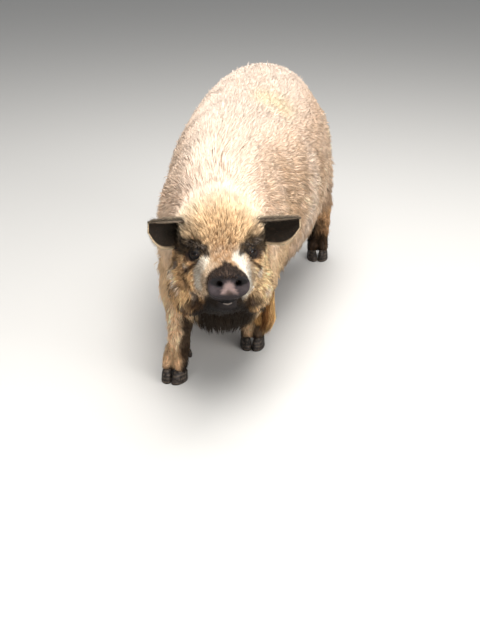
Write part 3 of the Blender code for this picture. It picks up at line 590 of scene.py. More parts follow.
@dataclass(frozen=True)
class Markings:
    """The colours of the coat and skin, worked out from where a place is on the body."""

    cream: str = "#F1DCC9"
    back_white: str = "#F2DFCE"
    crest_white: str = "#F8E5D2"
    rump_yellow: str = "#F6E3B8"
    flank_peach: str = "#EECDAD"
    flank_tan: str = "#CFAC84"
    flank_brown: str = "#8A6A4C"
    forehead: str = "#DDBC93"
    forehead_gap: str = "#8C7450"
    muzzle_tan: str = "#DBC4AB"
    bridge_tan: str = "#B08A62"
    poll_yellow: str = "#F3DDBE"
    ginger: str = "#AE7A46"
    ginger_light: str = "#DCAE76"
    olive: str = "#3A2917"
    # Partly stain and partly painted shade: the black-brown of the chin and under the snout
    chin_stain_and_shade: str = "#110A06"
    # Painted shade: the near-black of the throat and beard under the head
    bib_shade_brown: str = "#1B120B"
    jowl_gold: str = "#ECCBA0"
    nose_white: str = "#FDF5E8"
    eye_dark: str = "#0E0807"
    bag_purple: str = "#2E2224"
    tear_brown: str = "#2E1B12"
    brow_grey: str = "#6E6257"
    snout_dark: str = "#1D1718"
    snout_hair: str = "#4A3C33"
    peach: str = "#F4D2AC"
    hind_tan: str = "#C28D5A"
    shaded_leg: str = "#2A1A10"
    mud: str = "#17110D"
    elbow_gold: str = "#C89D68"
    elbow_tan: str = "#B98A55"
    elbow_brown: str = "#8F6238"
    # Painted shade: the dark hollow under the elbow clump
    elbow_hollow_shade: str = "#2E1C12"
    # The bare skin of the snout disc, eyes, mouth and ears
    disc: str = "#3A3133"
    disc_lobe: str = "#4B4344"
    disc_pink: str = "#97807A"
    disc_notch: str = "#3B2D26"
    disc_low: str = "#1F191A"
    disc_top: str = "#1A1415"
    nostril: str = "#0D0909"
    lid: str = "#080404"
    mouth: str = "#080505"
    lip: str = "#786D66"
    ear_outer: str = "#D9BE9B"
    ear_inner: str = "#17120F"
    ear_rim: str = "#4C4239"
    ear_vein: str = "#4A3A2B"
    ear_hair: str = "#D9C4A6"
    ear_mottle: str = "#8E6F50"
    ear_root: str = "#3A2E24"
    eye_white: str = "#5A4A42"
    iris: str = "#2A160D"
    pupil: str = "#050303"

    def plain(self, code: str, like: Array) -> Array:
        """One colour for every row."""
        return np.broadcast_to(np.array(linear(code)), like.shape)

    def lay(self, found: Array, *layers: tuple[str, Array]) -> Array:
        """Lays colours over the found ones in turn, each by a share for each place."""
        for code, share in layers:
            found = mixed(found, self.plain(code, found), np.clip(share, 0.0, 1.0))
        return found

    def stroke(self, points: Array, sign: int, *rows: tuple) -> Array:
        """The share that lies in soft-edged strokes over the head.

        Args:
            points: Places on the body.
            sign: 1 for the strokes as they are written, -1 for the same ones on the head's other side.
            rows: A start and an end, each as side, back and height, then a radius and the soft edge's width.

        Returns:
            For each place, 1 within a stroke's radius and 0 outside its edge.
        """
        shares = []
        for *ends, radius, soft in rows:
            a, b = (np.array(HEAD.point(sign * side, back, z)) for side, back, z in ends)
            span = b - a
            share = np.clip((points - a) @ span / (span @ span), 0.0, 1.0)
            away = np.linalg.norm(points - a - share[:, None] * span, axis=1)
            shares.append(smooth(away, radius + soft, radius))
        return np.maximum.reduce(shares)

    def trunk(self, points: Array, normals: Array) -> Array:
        """The neck and trunk: near white along the back, with tan and brown clumps down the flanks, partly
        painted shade, and a painted highlight down the left flank.
        """
        x, y, z = points.T
        up = normals[:, 2]
        side, left, hind = smooth(up, 0.72, 0.15), smooth(x, 0.02, 0.10), smooth(y, 0.06, 0.12)
        mottle = waves(points * (1.0, 0.8, 1.0), 0.045, 3) + 0.6 * waves(points, 0.018, 4)
        # A painted highlight: a pale stripe down the left flank, over the bulge of the belly.
        highlight_stripe = np.exp(-(((y - 0.02 - 0.2 * (z - 0.5)) / 0.045) ** 2)) * left
        # The flanks' tan and brown mottles are partly the coat's own clumps and partly painted shade:
        # strongest on skin that faces sideways and on the left flank, cleared under the painted highlight and
        # fading towards the neck.
        mottle_and_shade = side * (0.12 + 0.76 * left) * (1.0 - 0.92 * highlight_stripe) * (1.0 - 0.8 * smooth(y, -0.22, -0.32))
        band = np.exp(-(((y - 0.06) / 0.06) ** 2)) * smooth(up, 0.6, 0.85) * smooth(x, 0.0, 0.06)
        low = smooth(z + 0.02 * mottle, 0.36, 0.22) * (1.0 - smooth(y, -0.12, -0.20) * smooth(z, 0.17, 0.20))
        return self.lay(
            self.plain(self.cream, points),
            (self.back_white, smooth(up, 0.15, 0.70)),
            (self.crest_white, smooth(y, -0.05, -0.30) * smooth(up, 0.55, 0.85)),
            (self.flank_peach, smooth(up, 0.90, 0.40) * (0.52 + 0.08 * left)),
            (self.flank_tan, 0.56 * mottle_and_shade * smooth(mottle, -0.7, 0.7)),
            (self.flank_brown, mottle_and_shade * (0.28 + 0.50 * hind) * smooth(mottle, 0.35, 1.25)),
            (self.cream, 0.8 * side * highlight_stripe),
            (self.rump_yellow, 0.6 * band),
            (self.flank_brown, 0.75 * low),
            (self.jowl_gold, 0.8 * smooth(y, -0.10, -0.22) * smooth(z, 0.46, 0.33)),
        )

    def bib(self, points: Array, found: Array) -> Array:
        """Painted shade under the head, over the brown of the throat and of the beard that hangs between the
        front legs.
        """
        x, y, z = points.T
        fine = waves(points, 0.020, 14)
        centre = 0.035 + 0.050 * smooth(y, -0.42, -0.55)
        middle = smooth(np.abs(x - centre) + 0.008 * fine, 0.105, 0.075)
        share = smooth(y, -0.23, -0.29) * smooth(z + 0.010 * fine, 0.325, 0.295) * middle
        return self.lay(found, (self.bib_shade_brown, 0.98 * share))

    def legs(self, points: Array, normals: Array, found: Array) -> Array:
        """The legs: peach in front, painted shade inside, behind and down the outer side of the left foreleg,
        and muddy at the feet.
        """
        x, y, z = points.T
        share, outward = leg_share(points), np.sign(x) * normals[:, 0]
        patch, streaks = waves(points, 0.035, 8), waves(points * (1.0, 1.0, 0.35), 0.014, 9)
        inner = smooth(-outward - 0.35 * normals[:, 1] + 0.12 * patch, 0.48, 0.85)
        inner = np.maximum(inner, smooth(normals[:, 1], 0.1, 0.6))
        hind = smooth(y, 0.10, 0.20)
        facing = smooth(-normals[:, 1] - 0.8 * outward, -0.2, 0.5) * (1.0 - 0.35 * smooth(x, 0.10, 0.15))
        foot = LEGS["front_left"].place
        near = smooth(np.hypot(x - foot.x, y - foot.y), 0.085, 0.060)
        edge = 0.046 - 0.010 * near + 0.050 * smooth(y, 0.06, 0.14)
        return self.lay(
            found,
            (self.peach, share * smooth(z, 0.33, 0.22)),
            (self.ginger, 0.22 * share * smooth(streaks, 0.0, 1.2)),
            # Painted shade on the sides of the legs that face inwards and backwards.
            (self.shaded_leg, 0.92 * share * inner),
            (self.hind_tan, 0.7 * share * hind * (1.0 - inner)),
            (self.mud, 0.85 * share * hind * facing * smooth(z + 0.02 * patch, 0.30, 0.20)),
            # Painted shade down the outer side of the left foreleg, over its foot.
            (self.shaded_leg, 0.85 * share * near * smooth(x + 0.004 * patch, 0.076, 0.087)),
            (self.mud, 0.85 * share * smooth(z + 0.012 * patch - edge, 0.016, -0.014)),
        )

    def face(self, points: Array, found: Array) -> Array:
        """The face: tan forehead, white beside the nose, ginger cheeks that are painted darker on the right
        as painted shade, and a black-brown chin that is partly stain and partly painted shade.
        """
        side, back, z = HEAD.local(points)
        wide, right, share = np.abs(side), smooth(side, 0.0, -0.04), face_share(points)
        fine, patch = waves(points, 0.010, 11), waves(points, 0.022, 12)
        long = waves(points * (1.0, 0.55, 0.75), 0.016, 15)
        poll = smooth(z, 0.425, 0.455)
        fore = poll * smooth(back + 0.20 * wide, 0.080, 0.010)
        gaps = smooth(fine, 0.2, 1.1) * smooth(back, 0.050, -0.010)
        cheek = smooth(z - 0.25 * back, 0.462, 0.432) * smooth(back, 0.200, 0.110)
        outer = smooth(wide - 0.4 * back, 0.055, 0.080) * smooth(z, 0.29, 0.33)
        pale = smooth(long - 0.5 * patch, 0.3, 1.1) * smooth(z, 0.30, 0.34)
        # dark is made stronger on the head's right: painted shade there.
        dark = smooth(0.8 * long + 0.5 * patch + 0.5 * fine + 0.20 * right, 0.20, 1.10)
        dark = dark * (1.0 - 0.5 * outer * (1.0 - right))
        nose = smooth(wide, 0.078, 0.062) * smooth(back, -0.020, -0.045) * smooth(z, 0.345, 0.372)
        ridge = smooth(wide + 0.004 * patch, 0.038, 0.024) * smooth(back, 0.030, -0.030)
        specks = smooth(fine, 0.6, 1.2) * smooth(z, 0.415, 0.395)
        low = smooth(z + 0.05 * wide + 0.004 * patch, 0.368, 0.336)
        chin = smooth(wide - 0.15 * back + 0.006 * patch, 0.085, 0.055)
        under = smooth(z + 0.003 * fine, 0.390, 0.376) * smooth(wide, 0.056, 0.040)
        found = self.lay(
            found,
            (self.poll_yellow, 0.9 * share * poll * smooth(back, 0.130, 0.060)),
            (self.forehead, share * fore),
            (self.forehead_gap, 0.50 * share * fore * gaps),
            (self.ginger_light, 0.95 * share * cheek),
            # Weighted by right: the head's right cheek is painted darker, more ginger and olive, as painted
            # shade, and its left jowl more gold, as painted light, over the coat's own colours.
            (self.ginger, (0.55 + 0.35 * right) * share * cheek * smooth(patch + 0.3 * right, -0.3, 0.8)),
            (self.jowl_gold, (0.85 - 0.45 * right) * share * outer * cheek),
            (self.cream, 0.75 * share * cheek * pale),
            (self.olive, (0.55 + 0.25 * right) * share * cheek * dark),
            (self.muzzle_tan, 0.88 * share * nose),
            (self.bridge_tan, (0.50 + 0.30 * fine) * share * ridge * smooth(z, 0.425, 0.440)),
            (self.olive, 0.55 * share * nose * specks),
            # The black-brown of the chin and under the snout: partly stain, partly painted shade under the
            # jaw and the disc.
            (self.chin_stain_and_shade, 0.98 * share * low * chin),
            (self.chin_stain_and_shade, 0.96 * share * under * smooth(back, -0.030, -0.050)),
        )
        return self.marks(points, found)

    def marks(self, points: Array, found: Array) -> Array:
        """The small marks of the face: white patches, eye surrounds, tear stains, snout and mouth corners."""
        z, fine = points[:, 2], waves(points, 0.007, 13)
        upper = self.stroke(points, 1, ((0.036, -0.052, 0.452), (0.054, -0.084, 0.405), 0.013, 0.010))
        lower = self.stroke(points, 1, ((0.056, -0.084, 0.405), (0.062, -0.060, 0.368), 0.014, 0.014))
        right = self.stroke(points, -1, ((0.050, -0.048, 0.442), (0.060, -0.056, 0.400), 0.009, 0.012))
        white = np.maximum(upper, 0.95 * lower)
        found = self.lay(found, (self.nose_white, 0.90 * white), (self.nose_white, 0.75 * right))
        for sign in SIDES.values():
            lashes = self.stroke(points, sign, ((0.064, 0.004, 0.490), (0.084, 0.050, 0.500), 0.006, 0.016))
            patch = np.maximum((0.40 + 0.30 * fine) * lashes, self.stroke(
                points, sign,
                ((0.049, -0.026, 0.470), (0.066, -0.014, 0.468), 0.009, 0.009),
                ((0.066, -0.010, 0.468), (0.104, 0.055, 0.468), 0.020, 0.010),
                ((0.046, -0.026, 0.470), (0.041, -0.041, 0.457), 0.004, 0.006),
            ))
            bag = self.stroke(points, sign, ((0.072, -0.014, 0.450), (0.084, -0.004, 0.448), 0.007, 0.008))
            tear = self.stroke(points, sign, ((0.060, -0.034, 0.446), (0.088, -0.015, 0.419), 0.002, 0.006))
            corner = self.stroke(points, sign, ((0.080, 0.0, 0.330), (0.070, -0.020, 0.336), 0.010, 0.014))
            found = self.lay(
                found,
                (self.eye_dark, 0.97 * patch * (0.93 + 0.07 * fine)),
                (self.bag_purple, 0.85 * bag),
                (self.tear_brown, 0.9 * tear),
                (self.tear_brown, 0.8 * corner),
            )
        whorl = self.stroke(points, 1, ((0.010, -0.024, 0.478), (0.014, 0.0, 0.500), 0.0025, 0.005))
        snout = self.snout(points, fine)
        return self.lay(
            found,
            (self.olive, 0.9 * whorl),
            (self.snout_dark, 0.97 * snout),
            (self.snout_hair, 0.55 * snout * smooth(z, 0.400, 0.425) * smooth(fine, -0.6, 0.8)),
        )

    def snout(self, points: Array, fine: Array) -> Array:
        """The dark of the snout disc, the triangle above it and the lips under it."""
        side, back, z = HEAD.local(points)
        wide = np.abs(side - HEAD.disc_side)
        reach = 0.0015 + 0.038 * np.clip((back + 0.060) / -0.034, 0.0, 1.2) ** 2.0
        bridge = smooth(wide - reach - 0.004 * fine, 0.004, -0.004)
        bridge = bridge * smooth(back + 0.003 * fine, -0.056, -0.064) * smooth(z, 0.405, 0.415)
        lips = self.stroke(points, 1, ((0.004, -0.100, 0.360), (0.002, -0.080, 0.350), 0.018, 0.012))
        return np.clip(np.maximum.reduce([smooth(back, -0.086, -0.095), bridge, lips]), 0.0, 1.0)

    def coat(self, points: Array, normals: Array) -> Array:
        """The linear colour of the coat at each place of the skin."""
        found = self.legs(points, normals, self.trunk(points, normals))
        return self.bib(points, self.face(points, found))

    def contrast(self, points: Array, normals: Array) -> Array:
        """How much the strands differ in tone, and how deep the painted shade at their roots is: little along
        the white back, most on the face and legs.
        """
        x, _, z = points.T
        found = 0.17 + (0.36 + 0.16 * smooth(x, -0.02, 0.06)) * smooth(normals[:, 2], 0.70, 0.15)
        found = np.maximum(found, 1.25 * leg_share(points))
        found = np.maximum(found, face_share(points) * (0.70 + 0.75 * smooth(z, 0.48, 0.43)))
        return found + 1.9 * self.snout(points, np.zeros(len(points))) * smooth(z, 0.385, 0.400)


@dataclass(frozen=True)
class Finish:
    """A finish: what every material of the animal shares."""

    name: str
    ior: float
    specular: float

    def start(self) -> tuple[bpy.types.NodeTree, bpy.types.NodeSocket]:
        """Makes the material, and gives its node tree and the output with places on the object."""
        made = bpy.data.materials.new(self.name)
        made.use_nodes = True
        shader = made.node_tree.nodes["Principled BSDF"]
        fill(shader, {"IOR": self.ior, "Specular IOR Level": self.specular})
        return made.node_tree, add_node(made.node_tree, "ShaderNodeTexCoord").outputs["Object"]

    def end(self, tree: bpy.types.NodeTree, inputs: dict) -> bpy.types.Material:
        """Fills the shader's inputs and gives the material."""
        fill(tree.nodes["Principled BSDF"], inputs)
        return bpy.data.materials[self.name]

    def noise(
        self, tree: bpy.types.NodeTree, place: bpy.types.NodeSocket, size_mm: float, detail: float,
        rough: float = 0.5,
    ) -> bpy.types.NodeSocket:
        """A noise with patches of about this size."""
        return add_node(tree, "ShaderNodeTexNoise", {
            "Vector": place, "Scale": 1000.0 / size_mm, "Detail": detail, "Roughness": rough,
        }).outputs["Fac"]

    def level(
        self, tree: bpy.types.NodeTree, value: bpy.types.NodeSocket, low: float, high: float,
        from_low: float = 0.0, from_high: float = 1.0,
    ) -> bpy.types.NodeSocket:
        """A value stretched to run from low to high."""
        return add_node(tree, "ShaderNodeMapRange", {
            "Value": value, "From Min": from_low, "From Max": from_high, "To Min": low, "To Max": high,
        }).outputs["Result"]

    def tinted(self, tree: bpy.types.NodeTree, level: bpy.types.NodeSocket) -> bpy.types.NodeSocket:
        """The piece's own colour, made lighter and darker by a level."""
        tint = add_node(tree, "ShaderNodeAttribute", attribute_name="tint").outputs["Color"]
        shade = add_node(tree, "ShaderNodeVectorMath", {0: tint, 1: level}, operation="MULTIPLY")
        return shade.outputs["Vector"]

    def bump(self, tree: bpy.types.NodeTree, coarse: tuple, fine: tuple) -> bpy.types.NodeSocket:
        """Two heights, one over the other, each given with its strength and its depth in metres."""
        normal = {}
        for height, strength, depth in (fine, coarse):
            made = add_node(tree, "ShaderNodeBump", {
                "Height": height, "Strength": strength, "Distance": depth, **normal,
            })
            normal = {"Normal": made.outputs["Normal"]}
        return normal["Normal"]


@dataclass(frozen=True)
class HairFinish(Finish):
    """Guard hair, grown: a dry keratin strand with a broad soft highlight, its colour varying by strand."""

    name: str = "guard_hair"
    ior: float = 1.55
    specular: float = 0.10
    roughness: float = 0.62
    # Patches of dust and grease, each a few centimetres across
    patch_mm: float = 28.0
    patch_depth: float = 0.10

    def material(self) -> bpy.types.Material:
        """Builds the material, which reads the strand's own colour."""
        tree, place = self.start()
        dust = self.noise(tree, place, self.patch_mm, 3.0)
        level = self.level(tree, dust, 1.0 - self.patch_depth, 1.0 + self.patch_depth * 0.5, 0.3, 0.7)
        return self.end(tree, {"Roughness": self.roughness, "Base Color": self.tinted(tree, level)})


@dataclass(frozen=True)
class SkinFinish(Finish):
    """Living pig skin under hair: matte, finely creased and pored."""

    name: str = "pig_skin"
    ior: float = 1.42
    specular: float = 0.30
    roughness: float = 0.58
    # Pores are drawn a little coarser than real, so that they show
    pore_mm: float = 1.6
    crease_mm: float = 7.0
    # How deep red, green and blue light goes, in metres
    depths: tuple[float, ...] = (0.008, 0.003, 0.0015)

    def material(self) -> bpy.types.Material:
        """Builds the material, which reads the skin's own colour."""
        tree, place = self.start()
        pores = add_node(tree, "ShaderNodeTexVoronoi", {"Vector": place, "Scale": 1000.0 / self.pore_mm})
        creases = self.noise(tree, place, self.crease_mm, 4.0, 0.6)
        return self.end(tree, {
            "Subsurface Weight": 0.08,
            "Subsurface Radius": self.depths,
            "Base Color": self.tinted(tree, self.level(tree, creases, 0.82, 1.12, 0.3, 0.7)),
            "Roughness": self.level(tree, creases, self.roughness - 0.12, self.roughness + 0.14),
            "Normal": self.bump(tree, (creases, 0.5, 0.0012), (pores.outputs["Distance"], 0.25, 0.0006)),
        })


@dataclass(frozen=True)
class EyeFinish(Finish):
    """A wet eyeball: dark brown iris and black pupil under a clear, glossy cornea."""

    name: str = "wet_eyeball"
    ior: float = 1.376
    specular: float = 0.35
    roughness: float = 0.06
    fibre_mm: float = 1.0 / 3.0

    def material(self) -> bpy.types.Material:
        """Builds the material, which reads the iris and pupil from the eye's own colour."""
        tree, place = self.start()
        fibres = self.noise(tree, place, self.fibre_mm, 2.0)
        return self.end(tree, {
            "Roughness": self.roughness,
            "Coat Weight": 0.35,
            "Coat Roughness": 0.03,
            "Base Color": self.tinted(tree, self.level(tree, fibres, 0.7, 1.3)),
        })


@dataclass(frozen=True)
class HornFinish(Finish):
    """Hoof horn: keratin grown in rings down the claw, scuffed, with dried mud in the grooves."""

    name: str = "hoof_horn"
    ior: float = 1.54
    specular: float = 0.25
    horn: str = "#2B2420"
    mud: str = "#14100D"
    dust: str = "#51453A"
    ring_mm: float = 5.0
    clod_mm: float = 9.0

    def blend(
        self, tree: bpy.types.NodeTree, share: bpy.types.NodeSocket, first: object, code: str
    ) -> bpy.types.NodeSocket:
        """Mixes a first colour towards a second by a share."""
        return add_node(tree, "ShaderNodeMix", {
            "Factor": share, "A": first, "B": (*linear(code), 1.0),
        }, data_type="RGBA").outputs["Result"]

    def material(self) -> bpy.types.Material:
        """Builds the material, with growth rings across the height of the claw."""
        tree, place = self.start()
        rings = add_node(tree, "ShaderNodeTexWave", {
            "Vector": place, "Scale": 1000.0 / self.ring_mm / 6.28, "Distortion": 2.5, "Detail": 2.0,
        }, bands_direction="Z").outputs["Fac"]
        clods = self.noise(tree, place, self.clod_mm, 5.0, 0.65)
        muddy = self.level(tree, clods, 0.0, 1.0, 0.42, 0.60)
        worn = self.blend(tree, rings, (*linear(self.horn), 1.0), self.dust)
        return self.end(tree, {
            "Base Color": self.blend(tree, muddy, worn, self.mud),
            "Roughness": self.level(tree, muddy, 0.42, 0.85),
            "Normal": self.bump(tree, (clods, 0.7, 0.0015), (rings, 0.4, 0.0008)),
        })


@dataclass
class Skin:
    """The one skin of the whole body, from the snout to the tail, without the ears."""

    trunk_voxel: float = 0.009
    body_voxel: float = 0.0058
    lid_thickness: float = 0.0020
    lid_opening: tuple[float, float] = (0.0105, 0.0036)
    # The coat's colour is multiplied by this, red to blue, for the bare skin under it
    pinkness: tuple[float, ...] = (0.80, 0.68, 0.60)
    nodes: tuple[str, ...] = ("torso", "neck", "head", "tail", *(f"leg_{name}" for name in LEGS))

    def face_rings(self, stations: list) -> list[list[Vector]]:
        """Rings across the head from rows of back, half width, top, widest level, bottom and squareness."""
        side, up = HEAD.rotation() @ Vector((1, 0, 0)), Vector((0, 0, 1))
        found = []
        for back, half, top, widest, bottom, power in between(stations, 4):
            centre = HEAD.point(0.0, back, widest)
            found.append(ring(centre, side, up, half, top - widest, widest - bottom, power, 48))
        return found

    def skull(self) -> bpy.types.Object:
        """The forehead, cheeks and upper muzzle, from inside the neck to the snout."""
        cheek, poll = HEAD.cheek_half - 0.003, HEAD.poll_z - 0.004
        return loft("skull", self.face_rings([
            (0.175, 0.108, poll, 0.425, 0.290, 2.2),
            (0.125, cheek + 0.004, poll + 0.004, 0.415, 0.276, 2.2),
            (0.080, cheek + 0.003, poll + 0.002, 0.405, 0.282, 2.2),
            (0.038, cheek - 0.004, poll - 0.010, 0.400, 0.298, 2.2),
            (0.004, 0.097, poll - 0.034, 0.400, 0.318, 2.2),
            (-0.024, 0.082, poll - 0.068, 0.402, 0.334, 2.2),
            (-0.050, 0.066, poll - 0.094, 0.404, 0.346, 2.3),
            (-0.076, 0.054, poll - 0.104, 0.408, 0.358, 2.4),
            (HEAD.disc_back + 0.017, 0.046, poll - 0.107, 0.409, 0.366, 2.4),
        ]))

    def jaw(self) -> bpy.types.Object:
        """The lower jaw, from the throat to the chin."""
        return loft("jaw", self.face_rings([
            (0.120, 0.098, 0.400, 0.345, 0.250, 2.2),
            (0.070, 0.090, 0.395, 0.345, 0.264, 2.2),
            (0.020, 0.073, 0.385, 0.347, 0.286, 2.2),
            (-0.024, 0.055, 0.376, 0.349, 0.308, 2.2),
            (-0.058, 0.041, 0.368, 0.350, 0.324, 2.2),
            (-0.082, 0.029, 0.363, 0.351, 0.333, 2.2),
            (-0.094, 0.014, 0.359, 0.351, 0.342, 2.0),
        ]))

    def tail(self) -> bpy.types.Object:
        """The tail, which hangs from the top of the rump with a slight curve."""
        return limb("tail", [
            (0.000, 0.520, 0.600, 0.021, 0.021),
            (0.002, 0.568, 0.590, 0.017, 0.017),
            (0.008, 0.602, 0.548, 0.0125, 0.0125),
            (0.016, 0.608, 0.490, 0.0098, 0.0098),
            (0.010, 0.600, 0.430, 0.0085, 0.0085),
            (0.004, 0.598, 0.400, 0.0070, 0.0070),
        ])

    def flesh(self) -> bpy.types.Object:
        """The whole body fused from its lofts and muscle forms."""
        trunk = [loft("trunk", TRUNK.rings())]
        for side in SIDES.values():
            for name, place, radii in (
                ("shoulder", (side * 0.098, -0.245, 0.400), (0.076, 0.116, 0.166)),
                ("ham", (side * 0.122, 0.368 + side * 0.020, 0.430), (0.088, 0.146, 0.176)),
            ):
                trunk.append(ball(name, Vector(place), radii))
        trunk += [limb("upper", leg.stations()[:4]) for leg in LEGS.values()]
        trunk = fused(joined("trunk", trunk), self.trunk_voxel, 16)
        pieces = [trunk, self.skull(), self.jaw(), self.tail()]
        for side in SIDES.values():
            for name, across, back, z, radii in (
                ("jowl", 0.072, 0.080, 0.345, (0.056, 0.082, 0.074)),
                ("brow", 0.060, 0.028, 0.488, (0.034, 0.034, 0.018)),
                ("cheekbone", 0.065, 0.020, 0.424, (0.036, 0.049, 0.031)),
            ):
                pieces.append(ball(name, HEAD.point(side * across, back, z), radii, HEAD.turn))
        for leg in LEGS.values():
            pieces += [limb("leg", leg.stations()[1:]), *leg.toes()]
        return fused(joined("skin", pieces), self.body_voxel, 5)

    def refine(self, skin: bpy.types.Object, inside: Array) -> None:
        """Splits every edge whose two ends are marked into two."""
        bm = bmesh.new()
        bm.from_mesh(skin.data)
        edges = [edge for edge in bm.edges if inside[edge.verts[0].index] and inside[edge.verts[1].index]]
        bmesh.ops.subdivide_edges(bm, edges=edges, cuts=1, use_grid_fill=True, smooth=0.6)
        bmesh.ops.triangulate(bm, faces=[face for face in bm.faces if len(face.verts) > 4])
        bm.to_mesh(skin.data)
        bm.free()

    def disc_ring(
        self, centre: tuple, half: float, rise: float, drop: float, power: float, segments: int
    ) -> list[Vector]:
        """A ring that is upright in the snout disc's own frame, put in its place."""
        side, up = Vector((1, 0, 0)), Vector((0, 0, 1))
        outline = ring(Vector(centre), side, up, half, rise, drop, power, segments)
        return [HEAD.disc_frame() @ point for point in outline]

    def disc(self) -> bpy.types.Object:
        """The oval disc of the snout, with a raised rim, a shallow face and a slight rise at its middle."""
        # Metres into the snout, share of the full size
        rows = [
            (0.028, 0.80), (0.020, 0.86), (0.012, 0.93), (0.006, 0.985), (0.002, 1.00), (-0.001, 0.985),
            (-0.0025, 0.94), (-0.002, 0.86), (-0.0005, 0.74), (0.0006, 0.55), (0.0004, 0.34), (-0.0002, 0.12),
        ]
        rings = []
        for back, share in rows:
            half, high = HEAD.disc_half * share, HEAD.disc_high * share
            rings.append(self.disc_ring((0, back, 0), half, high, high * 0.96, 2.3, 64))
        return loft("disc", rings)

    def nostril(self, side: int) -> bpy.types.Object:
        """A cutter for one nostril, an oval hole that narrows and turns inwards."""
        rings = []
        # Metres into the snout, shares of the place at the rim, half width and half height
        for back, across, up, half, high in (
            (-0.010, 1.06, 1.00, 0.0092, 0.0106), (-0.001, 1.02, 1.00, 0.0080, 0.0094),
            (0.004, 0.98, 0.95, 0.0072, 0.0084), (0.012, 0.86, 0.80, 0.0058, 0.0068),
            (0.026, 0.62, 0.30, 0.0036, 0.0040),
        ):
            centre = (side * HEAD.nostril_side * across, back, HEAD.nostril_up * up)
            rings.append(self.disc_ring(centre, half, high, high, 2.0, 32))
        return loft("nostril", rings)

    def mouth(self, skin: bpy.types.Object) -> bpy.types.Object:
        """A cutter for the line of the mouth, along the skin under the disc and back over the cheeks."""
        tree = BVHTree.FromObject(skin, bpy.context.evaluated_depsgraph_get())
        half_line = [
            (0.017, -0.100, 0.361), (0.033, -0.084, 0.363), (0.047, -0.058, 0.367),
            (0.059, -0.030, 0.372), (0.071, -0.002, 0.378),
        ]
        mirrored = [(-side, back, z) for side, back, z in reversed(half_line)]
        line = [*mirrored, (0.002, -0.106, 0.3615), *half_line]
        stations = []
        for i, place in enumerate(line):
            near = tree.find_nearest(HEAD.point(*place))[0]
            radius = 0.0012 if i in (0, len(line) - 1) else 0.0030
            stations.append((*near, radius, radius))
        return limb("mouth", stations, 6, 12)

    def lid(self, side: int) -> bpy.types.Object:
        """The thick fold of lids round one eye."""
        centre = HEAD.eye_centre(side)
        radius = HEAD.eye_radius + self.lid_thickness
        return ball("lid", centre, (radius * 1.12, radius, radius * 0.95), HEAD.turn, 48, 32)

    def opening(self, side: int) -> bpy.types.Object:
        """A cutter with an almond outline that opens the lids in front of an eye."""
        centre, ahead = HEAD.eye_centre(side), HEAD.look(side)
        across = Vector((0, 0, 1)).cross(ahead).normalized()
        up = ahead.cross(across)
        tilt = Matrix.Rotation(math.radians(8.0) * side, 3, ahead)
        across, up = tilt @ across, tilt @ up
        rings = []
        for forward, size in ((0.002, 0.80), (0.009, 0.95), (0.014, 1.10), (0.034, 1.7)):
            points = []
            for k in range(40):
                angle = 2 * math.pi * k / 40
                wide, high = math.cos(angle), math.sin(angle)
                point = centre + ahead * forward + across * (self.lid_opening[0] * size * wide)
                points.append(point + up * (self.lid_opening[1] * size * high * abs(high) ** 0.3))
            rings.append(points)
        return loft("opening", rings)

    def features(self, skin: bpy.types.Object) -> None:
        """Adds the disc and lids, and cuts the mouth, nostrils and eyes."""
        sides = SIDES.values()
        combined(skin, [self.disc(), *[self.lid(side) for side in sides]], "UNION")
        combined(skin, [self.mouth(skin)], "DIFFERENCE")
        combined(skin, [self.nostril(side) for side in sides], "DIFFERENCE")
        sockets = [ball("socket", HEAD.eye_centre(side), (HEAD.eye_radius + 0.0004,) * 3) for side in sides]
        combined(skin, [self.opening(side) for side in sides], "DIFFERENCE")
        combined(skin, sockets, "DIFFERENCE")

    def soften(self, skin: bpy.types.Object) -> None:
        """Softens the folds where the disc and lids join the face, and the lips along the mouth."""
        places = places_of(skin.data)
        side, back, _ = HEAD.local(places)
        relaxed(skin.data, 0.6 * (smooth(back, -0.060, -0.075) * smooth(np.abs(side), 0.070, 0.060)), 2)
        _, into, up = HEAD.on_disc(places).T
        relaxed(skin.data, smooth(up, 0.018, 0.026) * smooth(into, 0.045, 0.030), 22)
        places = places_of(skin.data)
        weight = np.zeros(len(places))
        for sign in SIDES.values():
            away = HEAD.from_eye(places, sign)
            weight = np.maximum(weight, smooth(away, 0.034, 0.024) * smooth(away, 0.0150, 0.0168))
        relaxed(skin.data, weight, 14)
        self.folds(skin)

    def folds(self, skin: bpy.types.Object) -> None:
        """Raises creases below and outside the eyes, over the brows and across the bridge of the nose."""
        places, normals = places_of(skin.data), normals_of(skin.data)
        side, back, z = HEAD.local(places)
        shift = np.zeros(len(places))
        for sign in SIDES.values():
            away = np.linalg.norm((places - np.array(HEAD.eye_centre(sign))) * (1.0, 1.0, 1.25), axis=1)
            window = smooth(away, 0.0185, 0.0215) * smooth(away, 0.046, 0.032)
            above = smooth(z, HEAD.eye_z + 0.004, HEAD.eye_z - 0.006)
            wave = np.cos(2 * math.pi * (away - 0.0215) / 0.0072)
            shift += 0.0011 * wave * window * (0.10 + 0.70 * above)
            hood = np.exp(-(((z - HEAD.eye_z - 0.0165) / 0.0055) ** 2))
            hood = hood * smooth(np.abs(side - sign * 0.066), 0.028, 0.016)
            shift += 0.0030 * hood * smooth(back, 0.030, 0.010)
        wide = np.abs(side)
        bridge = smooth(wide, 0.034, 0.018) * smooth(back, -0.030, -0.045) * smooth(back, -0.088, -0.076)
        wave = np.sin(2 * math.pi * (back + 0.2 * wide) / 0.0085)
        shift += 0.0009 * bridge * wave * smooth(z, 0.41, 0.43)
        set_places(skin.data, places + normals * shift[:, None])

